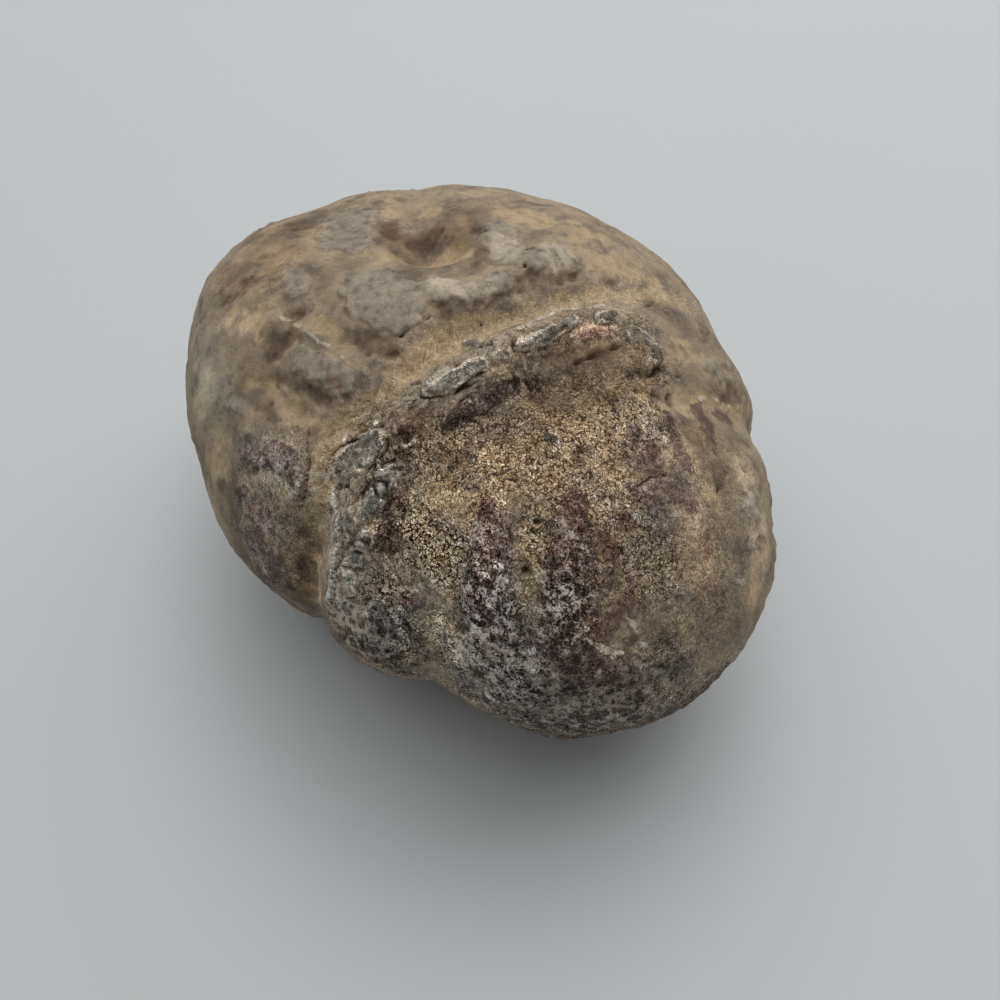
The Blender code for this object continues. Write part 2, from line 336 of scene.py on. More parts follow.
FLAKES = [
    ("long flake", 1, [(-9, 8.5, 0.8), (-6.5, 9.5, 1.2), (-3, 11, 1.5), (0, 13, 1.3), (2.5, 14.5, 0.8)]),
    (
        "second flake", 1,
        [(12, 18.5, 0.6), (14.5, 19.5, 1), (17.5, 20.5, 1.1), (20.5, 22, 0.9), (23.5, 24, 0.8)],
    ),
    ("grey strip", 0.8, [(31, 25, 0.9), (34, 25.5, 0.9)]),
    ("patch between the flakes", 0.4, [(0, 21.5, 1.9), (3.5, 21, 1.4), (5.5, 20.5, 1)]),
    ("right patch", 0.7, [(38, 21, 1.5), (40, 18.5, 2.1), (41.5, 16, 1.8)]),
    (
        "grey flake", 1,
        [(-30.5, -8.5, 1.1), (-28.5, -6.5, 2.6), (-23.5, -4, 3.3), (-21, -2.5, 2.4), (-20, -1, 1.3)],
    ),
    ("upper teal flake", 1, [(-17, -8.5, 1), (-18, -10, 1.1), (-18, -11, 0.9)]),
    ("lower teal flake", 1, [(-19.5, -12, 0.9), (-20, -13.5, 1.6), (-21, -15, 1.2)]),
    ("chip", 1, [(-21, -20.5, 1)]),
    ("chip below", 1, [(-22, -22, 0.9), (-23, -23.5, 1.1)]),
    ("long chip", 0.8, [(-24, -16, 0.7), (-24.5, -18, 0.7)]),
    ("low chips", 0.8, [(-24, -27, 0.9)]),
    ("lowest chip", 0.8, [(-24, -29, 0.8)]),
    ("small lobe", 1, [(-17.5, -33, 2.5), (-17, -36, 3.4), (-18.5, -39, 2.3), (-15, -37.5, 1.8)]),
    ("basin spot", 0.5, [(14.5, -2.5, 1.1)]),
    ("basin spot on the right", 0.5, [(18.5, -8, 0.8)]),
]
CRUST = [
    ("crack filling", 1, [(-21.5, 9, 0.3), (-21, 7.5, 0.3), (-21.5, 5.5, 0.3), (-23, 3.5, 0.4)]),
    (
        "upper rim of the long flake", 1,
        [(-10.5, 7.5, 0.2), (-7, 11, 0.2), (-3, 13, 0.2), (1, 15, 0.2), (4.5, 17, 0.2)],
    ),
    ("lower rim of the long flake", 1, [(-10.5, 5, 0.3), (-6.5, 8, 0.3), (-2, 10, 0.3), (1, 11.5, 0.3)]),
    ("rim of the grey flake", 1, [(-32.5, -10, 0.2), (-30, -4.5, 0.3), (-26.5, -1, 0.3), (-22.5, 2, 0.4)]),
    ("across the grey flake", 1, [(-26, -4, 0.3), (-20.5, -4, 0.2)]),
    ("left of the teal flake", 1, [(-19, -6.5, 0.3), (-19.5, -10, 0.3)]),
    ("right of the teal flake", 1, [(-16, -8, 0.3), (-16, -10.5, 0.3), (-17, -12.5, 0.2), (-18, -14, 0.2)]),
    ("net 1", 1, [(-25, -10.5, 0.4), (-22.5, -12, 0.3), (-22.5, -15, 0.3)]),
    ("net 2", 1, [(-20, -10.5, 0.2), (-22, -11.5, 0.2)]),
    (
        "net 3", 1,
        [
            (-22.5, -18.5, 0.2), (-24, -20.5, 0.2), (-24.5, -23, 0.2), (-25.5, -26.5, 0.2),
            (-26.5, -31.5, 0.2), (-26, -36.5, 0.3),
        ],
    ),
    (
        "net 4", 1,
        [(-19, -21, 0.2), (-20, -23.5, 0.2), (-21.5, -26, 0.2), (-23, -29, 0.2), (-22.5, -32, 0.2)],
    ),
    ("net 5", 1, [(-23, -25, 0.2), (-21.5, -24, 0.2)]),
    (
        "net 6", 1,
        [
            (-31.5, -10.5, 0.2), (-31.5, -15, 0.3), (-28, -17.5, 0.4), (-26.5, -21, 0.3),
            (-27.5, -26, 0.3), (-28.5, -32, 0.3),
        ],
    ),
    (
        "straight vein", 0.9,
        [(-47.5, 29.5, 0.2), (-42, 26.5, 0.2), (-34, 21, 0.3), (-28, 16.5, 0.2), (-24, 13.5, 0.2)],
    ),
    ("vein over the foot", 1, [(12, -30, 0.2), (14.5, -30, 0.2), (16.5, -31, 0.2), (18, -32.5, 0.2)]),
    ("vein over the rust", 1, [(14, -28.5, 0.2), (15, -29, 0.2), (16, -29, 0.2)]),
    ("vein across the first finger", 1, [(-2.5, -26.5, 0.2), (-0.5, -25.5, 0.2), (1, -25.5, 0.2)]),
    ("forked vein", 1, [(4, -22.5, 0.2), (5, -24.5, 0.2)]),
    ("ring on the finger", 1, [(2.5, -24.5, 0.2), (2, -25.5, 0.2)]),
    ("low vein", 1, [(4, -39.5, 0.3), (6.5, -41, 0.4), (9.5, -42.5, 0.4), (12, -43.5, 0.3)]),
    ("crumb", 1, [(0, -32, 0.5), (-0.5, -32.5, 0.5)]),
    ("crumbs", 1, [(3.5, -32, 0.5), (4.5, -33, 0.6)]),
    ("crumbs below", 1, [(7.5, -35.5, 0.6), (8.5, -36.5, 0.7)]),
    ("crumb at the foot", 1, [(11, -37.5, 0.5)]),
    ("low crumb", 1, [(14.5, -41.5, 0.7)]),
    ("yellow crumbs", 1, [(17.5, -32, 0.5), (19.5, -33, 0.8), (21, -33, 0.5)]),
    ("crumb on the small lobe", 1, [(-14, -31, 0.6), (-11.5, -32.5, 0.6)]),
    ("crest behind the second flake", 1, [(11.5, 23, 0.4), (19, 29, 0.4), (24, 30, 0.4), (34, 30.5, 0.4)]),
    (
        "crest down to the groove", 0.8,
        [(-21.5, 8.5, 0.3), (-26, 3, 0.2), (-29.5, -1.5, 0.2), (-31.5, -6.5, 0.2)],
    ),
    ("streak on the second finger", 0.8, [(24.5, -13, 0.2), (25.5, -14.5, 0.2), (27, -16.5, 0.2)]),
    ("streak at the foot", 0.8, [(5.5, -39.5, 0.2), (9.5, -43.5, 0.3)]),
    ("arc at the foot", 0.8, [(9.5, -31.5, 0.2), (12, -30, 0.2), (14.5, -30, 0.2), (17, -31.5, 0.2)]),
    ("chip a", 0.9, [(25, -39.5, 0.6)]),
    ("chip b", 0.9, [(29.5, -42.5, 0.5), (29.5, -42, 0.5)]),
    ("chip c", 0.9, [(24, -32, 0.4)]),
    ("chip d", 0.9, [(18.5, -42, 0.6)]),
    ("chip e", 0.8, [(-38, -10.5, 0.4)]),
    ("chip f", 0.9, [(43, -26, 0.5), (42, -25.5, 0.5)]),
    ("chip g", 1, [(7.5, -36, 0.8)]),
    ("chip h", 1, [(3.5, -41, 0.4), (3.5, -40.5, 0.4)]),
    ("flank crest", 0.7, [(52, 5.5, 0.3), (64, 3.5, 0.4)]),
    ("crumbs on the crest", 0.9, [(6, 17, 0.3), (7.5, 17.5, 0.3), (9, 17, 0.4)]),
    ("more crumbs on the crest", 0.8, [(7, 16, 0.3), (8.5, 16, 0.3)]),
    ("yellow pad", 0.7, [(0, 9.5, 0.6), (2, 10.5, 0.4)]),
    ("ring on the crest", 0.7, [(12.5, 15.5, 0.2), (13, 13.5, 0.2), (15, 13, 0.2), (16, 15, 0.2)]),
    ("lens on the red band", 0.7, [(32.5, 21.5, 0.2), (33, 18.5, 0.3)]),
    ("streaks on the red band", 0.6, [(23, 20.5, 0.2), (26.5, 22, 0.2), (29.5, 23, 0.2)]),
    ("crest over the long flake", 0.7, [(-10, 10, 0.3), (-6.5, 13, 0.3), (-2, 14.5, 0.3), (2.5, 16, 0.3)]),
    ("crumbs on the bar", 0.8, [(-1, 6.5, 0.3), (1, 5.5, 0.2), (4, 7.5, 0.2)]),
    ("crumbs in the fibres", 0.9, [(-16.5, -1.5, 0.3)]),
    ("more in the fibres", 0.9, [(-15, -4, 0.3), (-12.5, -2, 0.4)]),
    ("crumb by the fibres", 0.9, [(-17, -5.5, 0.3)]),
    ("arc by the fan", 0.9, [(-14.5, -16.5, 0.2), (-13, -17.5, 0.2), (-13, -19.5, 0.2)]),
    ("filament 1", 1, [(-1, -28, 0.2), (0, -28.5, 0.2), (0.5, -29.5, 0.2), (-0.5, -31.5, 0.2)]),
    ("filament 2", 1, [(1.5, -26.5, 0.2), (2.5, -28, 0.2), (2, -30, 0.2)]),
    ("filament 3", 1, [(0.5, -21, 0.2), (2, -21.5, 0.2), (3, -21, 0.2), (4, -21.5, 0.2)]),
    ("filament 4", 1, [(0.5, -24, 0.2), (1.5, -23, 0.2), (2.5, -23.5, 0.2)]),
    ("filament 5", 1, [(11, -25.5, 0.2), (12, -26, 0.2), (11.5, -27.5, 0.2), (12.5, -28, 0.2)]),
    ("filament 6", 1, [(13.5, -24.5, 0.2), (14, -25.5, 0.2), (13.5, -27, 0.2)]),
    ("filament 7", 1, [(10, -29, 0.2), (11, -30, 0.2), (12.5, -29, 0.2)]),
    ("filament 8", 1, [(-1.5, -34.5, 0.2), (0, -35.5, 0.2), (1, -34, 0.2), (2, -35, 0.2)]),
    ("filament 9", 1, [(3, -36.5, 0.2), (4, -37.5, 0.2), (4, -40, 0.2)]),
    ("filament 10", 1, [(6.5, -33.5, 0.2), (7.5, -34.5, 0.2), (8.5, -33, 0.2)]),
    ("filament 11", 1, [(5, -42, 0.3), (6.5, -43.5, 0.3), (8.5, -44, 0.3), (10.5, -45.5, 0.3)]),
    ("filament 12", 0.9, [(0.5, -45, 0.3), (2.5, -46.5, 0.4), (4.5, -47, 0.4)]),
    ("filament 13", 0.9, [(12.5, -43.5, 0.2), (14.5, -44.5, 0.3), (17, -44, 0.3)]),
    ("filament 14", 0.8, [(22, -34.5, 0.2), (23.5, -35.5, 0.2), (25, -35, 0.2)]),
    ("filament 15", 0.8, [(21.5, -28, 0.2), (23, -29.5, 0.2), (24, -29, 0.2)]),
    ("filament 16", 0.8, [(23, -30, 0.2), (24, -31.5, 0.2)]),
    ("between the ribs", 0.6, [(35, -0.5, 0.2), (35.5, -2.5, 0.2), (35.5, -4.5, 0.2)]),
    ("crumbs low on the foot", 0.9, [(6.5, -33, 0.3), (5, -34.5, 0.4)]),
    ("crumbs left of the foot", 0.9, [(-1.5, -37, 0.4), (0, -38.5, 0.5), (2, -39, 0.4)]),
    ("crumbs at the rim", 0.8, [(12.5, -46, 0.4), (17.5, -47, 0.6), (21.5, -44.5, 0.4)]),
    ("streak low on the dome", 0.8, [(23.5, -35, 0.2), (26, -36, 0.2), (27.5, -35, 0.2)]),
]
RUST = [
    ("tip of the first finger", 0.6, [(2, -12.5, 0.9), (3, -14.5, 1.2)]),
    ("foot of the dome", 0.9, [(17.5, -28, 1), (16.5, -29.5, 1.5)]),
    ("above the foot", 0.5, [(14.5, -26.5, 0.9), (16.5, -24, 1.4)]),
    ("right of the second finger", 0.6, [(19.5, -16.5, 1.3), (20.5, -19, 1.3)]),
    ("on the second finger", 0.6, [(14.5, -15.5, 0.7)]),
    ("above the upper pit", 0.5, [(-26, 69.5, 2.6), (-26.5, 74, 2.6)]),
    ("end of the roll", 0.6, [(-8.5, 31.5, 1)]),
    ("red band", 0.2, [(26.5, 23, 2.3), (30, 23, 1.8)]),
    ("behind the ledge", 0.6, [(9, 19, 1.1)]),
    ("right flank", 0.5, [(24, -15.5, 1.5)]),
    ("low on the right", 0.4, [(23, -25, 1.3), (24.5, -21.5, 0.9)]),
    ("plate by the seam", 0.4, [(45.5, -3.5, 0.9), (44, -4, 0.9)]),
    ("left end of the ledge", 0.5, [(-11.5, 2.5, 0.7), (-9.5, 6, 0.8)]),
    ("knob", 0.4, [(15.5, 10, 1.2)]),
    ("right of the basin", 0.3, [(23.5, -8.5, 1.3)]),
    ("orange in the basin", 0.5, [(13.5, -9, 1.3), (12.5, -10, 0.9)]),
    ("orange right of the basin", 0.4, [(23.5, -8.5, 1.2)]),
    ("orange on the right", 0.4, [(24.5, -22, 0.7)]),
    ("red-brown foot", 0.6, [(16.5, -45, 1), (16.5, -43.5, 1)]),
    ("dotted line", 0.5, [(39, -15.5, 0.5), (37.5, -18, 0.5), (36, -23, 0.5), (35.5, -25, 0.5)]),
]
# Cuts are cracks and pits, sunk and painted near-black. The lines under the long flake, the grey flake, the lower
# teal flake, the bar and the red band are also painted shadow, dark where the flake or lip above would shade them.
CUTS_AND_PAINTED_SHADOWS = [
    ("crack under the long flake", 1, [(-6, 7.5, 0.3), (-2.5, 9, 0.3), (0.5, 11.5, 0.3), (2.5, 12.5, 0.3)]),
    ("hole over the long flake", 1, [(-10, 13, 0.7), (-8.5, 14, 0.6)]),
    ("hole to its left", 1, [(-12, 11, 0.6), (-14.5, 11, 0.5)]),
    ("hole to its right", 1, [(-5.5, 15.5, 0.4)]),
    ("crack round the plate", 0.5, [(-9.5, 28, 0.2), (-13.5, 25.5, 0.3), (-16.5, 23, 0.3)]),
    ("crack in the bar", 1, [(-1.5, 2.5, 0.3), (1.5, 1.5, 0.3)]),
    ("long crack in the basin", 0.6, [(2.5, -9.5, 0.2), (6, -8.5, 0.2), (7.5, -9, 0.2)]),
    ("crack above it", 0.6, [(1.5, -7.5, 0.2), (4, -8, 0.2), (6.5, -7, 0.2)]),
    ("crack in the middle", 1, [(10, -4, 0.2), (13.5, -5, 0.2)]),
    ("crack under the grey flake", 1, [(-23, -7, 0.3), (-21, -7, 0.3), (-19.5, -6, 0.2)]),
    ("crack beside it", 1, [(-19.5, -6.5, 0.2), (-20, -9, 0.2)]),
    ("right pits", 1, [(36, 11.5, 0.7), (37.5, 10.5, 0.5)]),
    ("right pit", 1, [(39.5, 11, 0.4), (42.5, 12.5, 0.9)]),
    ("pit a", 1, [(34, 7, 0.6)]),
    ("pit b", 1, [(38.5, 6.5, 0.7)]),
    ("pit c", 1, [(43.5, 5.5, 0.8)]),
    ("pit d", 1, [(46.5, 10.5, 0.5)]),
    ("ring pit", 1, [(21.5, -11.5, 0.3)]),
    ("pit by the second finger", 1, [(11.5, -20, 0.3)]),
    ("pits in the valley", 1, [(10, -15, 0.4)]),
    ("second pit in the valley", 1, [(9.5, -17, 0.3)]),
    ("brown pit in the valley", 1, [(7.5, -22, 0.7)]),
    ("pit in the basin", 1, [(2, -0.5, 0.5)]),
    ("spot at the top left", 0.7, [(-41.5, 68.5, 1), (-42, 70, 1)]),
    ("spot beside it", 0.6, [(-34, 73.5, 1.1)]),
    ("left pit", 1, [(-49, 12, 0.7)]),
    ("hole behind the ledge 1", 0.5, [(3.5, 28.5, 0.4)]),
    ("hole behind the ledge 3", 0.5, [(-4, 28, 0.4)]),
    ("edge of the first finger", 1, [(5.5, -15, 0.2), (6, -17, 0.2), (6, -19, 0.2)]),
    ("crack under the red band", 0.6, [(24.5, 15, 0.3), (28, 16, 0.4), (31.5, 17, 0.4), (33.5, 17.5, 0.3)]),
    ("crack at the right end", 1, [(49.5, 32, 0.3), (45.5, 30.5, 0.3)]),
    (
        "edge of the left face", 1,
        [
            (-38.5, 1, 0.3), (-36.5, -3.5, 0.3), (-36, -7.5, 0.3), (-36.5, -12, 0.3),
            (-37.5, -15.5, 0.2),
        ],
    ),
    (
        "loop by the seam", 0.8,
        [(44.5, -8, 0.2), (46, -9.5, 0.2), (44.5, -11, 0.2), (42.5, -12.5, 0.2), (41.5, -13.5, 0.2)],
    ),
    ("long crack on the right", 0.8, [(27, -10.5, 0.2), (30, -9, 0.2), (33.5, -9, 0.2), (37, -11, 0.2)]),
    ("short crack on the flank", 0.8, [(50, -8.5, 0.2), (53.5, -9.5, 0.3)]),
    ("arc between the pits", 0.9, [(36, 11.5, 0.3), (38.5, 10.5, 0.3), (42.5, 12.5, 0.3)]),
    ("pit on the dome", 0.6, [(30.5, -21, 0.4)]),
    ("basin pits", 0.9, [(19.5, -4, 0.3)]),
    ("basin pits 2", 0.9, [(21, -4.5, 0.3)]),
    ("groove pit 1", 0.5, [(9.5, 32, 0.7)]),
    ("groove pit 2", 0.6, [(-8.5, 23, 0.4)]),
    ("groove pit 3", 0.6, [(-1.5, 23, 0.6)]),
    ("groove pit 4", 0.6, [(6, 19.5, 0.5)]),
    ("groove pit 5", 0.6, [(14, 23.5, 0.6)]),
    ("groove pit 6", 0.7, [(22.5, 26.5, 0.6)]),
    ("plate pit 1", 0.7, [(17, 49, 0.8)]),
    ("plate pit 2", 0.7, [(15, 42, 0.5)]),
    ("dome pit", 0.7, [(32, -10, 0.2)]),
    ("flank pit 1", 0.7, [(40.5, -22.5, 0.3)]),
    ("flank pit 2", 0.7, [(52, -15.5, 0.4)]),
    ("under the long flake", 0.9, [(-10, 5.5, 0.2), (-6.5, 7.5, 0.3), (-3.5, 9, 0.2)]),
    ("outline of the knob", 0.8, [(13, 11, 0.2), (14, 8.5, 0.2), (16, 9, 0.2), (17, 11, 0.2)]),
    ("tip of the bar", 0.9, [(10, 12, 0.2), (11, 10, 0.3), (9, 8.5, 0.2)]),
    ("under the bar", 0.6, [(6.5, 7, 0.2), (3, 4, 0.2), (-0.5, 1, 0.2)]),
    ("over the bar", 0.6, [(3, 10.5, 0.2), (-0.5, 7.5, 0.2), (-4, 4.5, 0.2)]),
    (
        "first finger, left edge", 0.6,
        [(2, -12, 0.2), (0.5, -14.5, 0.2), (-0.5, -17.5, 0.2), (-1, -21, 0.2), (-1.5, -25, 0.2)],
    ),
    ("first finger, right edge", 0.7, [(3, -12, 0.2), (5, -14, 0.2), (5.5, -16.5, 0.2), (5.5, -19, 0.2)]),
    (
        "second finger, left edge", 0.5,
        [(15.5, -10.5, 0.2), (13.5, -12.5, 0.2), (12, -16, 0.2), (11, -20.5, 0.2), (10, -24.5, 0.2)],
    ),
    ("second finger, tip", 0.5, [(17.5, -10.5, 0.2), (18, -12.5, 0.2), (18, -14.5, 0.2)]),
    ("rib line 1", 0.5, [(30, -1.5, 0.2), (30.5, -4.5, 0.2), (31, -7.5, 0.2)]),
    ("rib line 2", 0.6, [(35.5, 0, 0.2), (36, -3.5, 0.2), (37, -7, 0.2)]),
    ("rib line 3", 0.5, [(38, 0.5, 0.2), (38.5, -3, 0.2), (39.5, -6.5, 0.2)]),
    ("hole in the crest", 0.9, [(2.5, 19, 0.4)]),
    ("second hole in the crest", 0.9, [(5.5, 18.5, 0.2)]),
    ("hole over the second flake", 0.8, [(22.5, 25.5, 0.5)]),
    ("swirl under the crest", 0.6, [(18.5, 15.5, 0.2), (21, 13.5, 0.3), (20, 11, 0.3)]),
    ("black line by the teal flake", 0.9, [(-19.5, -7, 0.2), (-20, -9.5, 0.2)]),
    ("holes by the teal flake", 0.9, [(-14.5, -10, 0.3), (-13.5, -12, 0.4)]),
    ("dark foot line", 0.6, [(3, -47, 0.2), (6.5, -47.5, 0.2), (10.5, -46.5, 0.2)]),
    ("by the chips", 0.8, [(-20, -18.5, 0.2), (-20, -21, 0.2), (-21, -23, 0.2)]),
    ("under the lower teal flake", 0.9, [(-16.5, -13, 0.2), (-17.5, -15.5, 0.2), (-18.5, -17, 0.2)]),
    ("left of the grey flake", 0.7, [(-32.5, -11, 0.2), (-30.5, -12.5, 0.3), (-26, -11, 0.3)]),
]
GRAINY = [
    ("first finger and left of the basin", 1, [(-14, -17.5, 6.9), (-3.5, -21.5, 6.8), (2, -28, 6.9)]),
    ("first finger", 1, [(2, -13.5, 4), (2.5, -20.5, 4.7), (2, -33, 6.7)]),
    ("valley", 0.9, [(10.5, -16.5, 4.7), (12.5, -23, 4.9)]),
    ("second finger", 0.9, [(15.5, -17.5, 4.6), (14, -28, 5.6)]),
    ("basin", 0.8, [(-15.5, -6, 7.2), (-2.5, -4, 10), (13, -2.5, 9), (26, -1, 8.1), (32, 1, 7)]),
    ("under the ledge", 0.6, [(16, 8.5, 5.6), (28, 8.5, 5.7), (35.5, 9.5, 4.6)]),
    ("middle of the dome", 0.8, [(14.5, -9, 8), (23.5, -13.5, 7.6), (25.5, -20.5, 7.3)]),
    ("left of the foot", 1, [(2, -34.5, 6.4), (6.5, -41.5, 6.4)]),
    ("foot", 0.8, [(12, -36, 6.6), (18, -39.5, 6.7)]),
    ("rim of the foot", 0.9, [(-2, -49, 4.4), (8.5, -50, 4.7), (20.5, -47, 4.3), (29.5, -43, 4)]),
    ("rim of the small lobe", 0.9, [(-26, -39, 4), (-16, -44.5, 4.4), (-8.5, -54.5, 4.8)]),
    ("low on the right", 0.7, [(27, -38, 7.1)]),
    ("dome on the right", 0.4, [(35.5, -9.5, 6.6), (35, -21.5, 8), (33.5, -30, 7.4)]),
    ("right flank", 0.2, [(46, -7, 8.6), (43, -19.5, 7.6), (40, -31, 7)]),
    ("small lobe", 1, [(-16.5, -30, 6.4), (-14.5, -39.5, 6.2)]),
    ("left side of the ledge", 0.6, [(-29.5, -8.5, 6.2), (-26.5, -24, 4.9), (-26, -40.5, 5.5)]),
    (
        "ledge", 0.5,
        [
            (-23, 2.5, 6.2), (-10.5, 8, 4.7), (-4.5, 12, 4.3), (4.5, 17, 4.5), (16, 21, 4.5),
            (30, 24, 4.8), (39.5, 23, 4.9),
        ],
    ),
    ("left face", 0.4, [(-45.5, -10, 11.9), (-46.5, -28, 12.1)]),
    ("groove", 0.2, [(-32.5, -1.5, 4), (-17.5, 13, 5.8), (3, 27, 6), (35.5, 33.5, 6.4), (61.5, 34, 8.1)]),
    ("bar", 0.6, [(-4.5, 1, 4.4), (4.5, 7, 5.1), (14, 10, 4.8)]),
    ("valley by the small lobe", 0.9, [(-6.5, -33.5, 3.3), (-4.5, -41, 4.2)]),
    ("right end of the ledge", 0.6, [(38, 16.5, 3.9), (40.5, 11.5, 4.9)]),
    ("under the foot", 0.8, [(-22, -60, 12), (0, -68, 14), (20, -62, 14), (42, -50, 12)]),
]
NET = [
    (
        "left side of the ledge", 1,
        [(-30.5, -10.5, 3.9), (-27, -20.5, 4.1), (-26.5, -31.5, 4.1), (-22.5, -39, 4.7)],
    ),
    ("foot of the dome", 0.5, [(2, -34.5, 4.6), (6.5, -41.5, 5.3), (15.5, -42.5, 4), (25.5, -40, 3.9)]),
    ("small lobe", 0.3, [(-16.5, -30, 3.4), (-16, -37.5, 4.8), (-10, -48, 4.8)]),
    ("beside the grey flake", 0.7, [(-18, -4.5, 1.9), (-16.5, -9, 2.4)]),
    (
        "along the ledge", 0.6,
        [(-21, 5.5, 2.8), (-8.5, 8, 2.1), (2.5, 15, 2.6), (11, 20.5, 2.4), (21, 25, 2.7)],
    ),
]
SPECKLE = [
    ("first finger", 0.6, [(2.5, -17.5, 2.4), (2, -22, 3)]),
    ("low on the first finger", 1, [(1.5, -25, 3.9), (1.5, -31, 4.4)]),
    ("second finger", 0.5, [(15, -17.5, 2.5), (14, -21.5, 2.9)]),
    ("low on the second finger", 0.8, [(13, -25.5, 3.8), (12, -29.5, 3.2)]),
    ("left of the foot", 1, [(0, -36, 5.3), (4, -40.5, 4.8), (7, -35, 2.6)]),
    ("foot", 0.2, [(12, -38, 6.6), (20.5, -37.5, 5.8), (27, -35, 4.5)]),
    ("foot rim", 0.5, [(3.5, -49, 3.6), (10, -49, 3.4), (19.5, -48.5, 3.6), (27, -45.5, 3.3)]),
    ("small lobe", 0.3, [(-16.5, -33, 3.4), (-17, -38.5, 3.7)]),
    ("left face", 0.5, [(-51, -4.5, 3.9), (-41.5, -6.5, 3.9), (-37.5, -11, 2.5)]),
    ("lower left face", 0.3, [(-54, -15, 3.5), (-47, -21, 3.9), (-51, -31.5, 5.3)]),
    ("ribbed patch", 0.3, [(32, -4, 2.9), (38, -3, 2)]),
    ("right flank", 0.3, [(30.5, -12.5, 3.2)]),
]
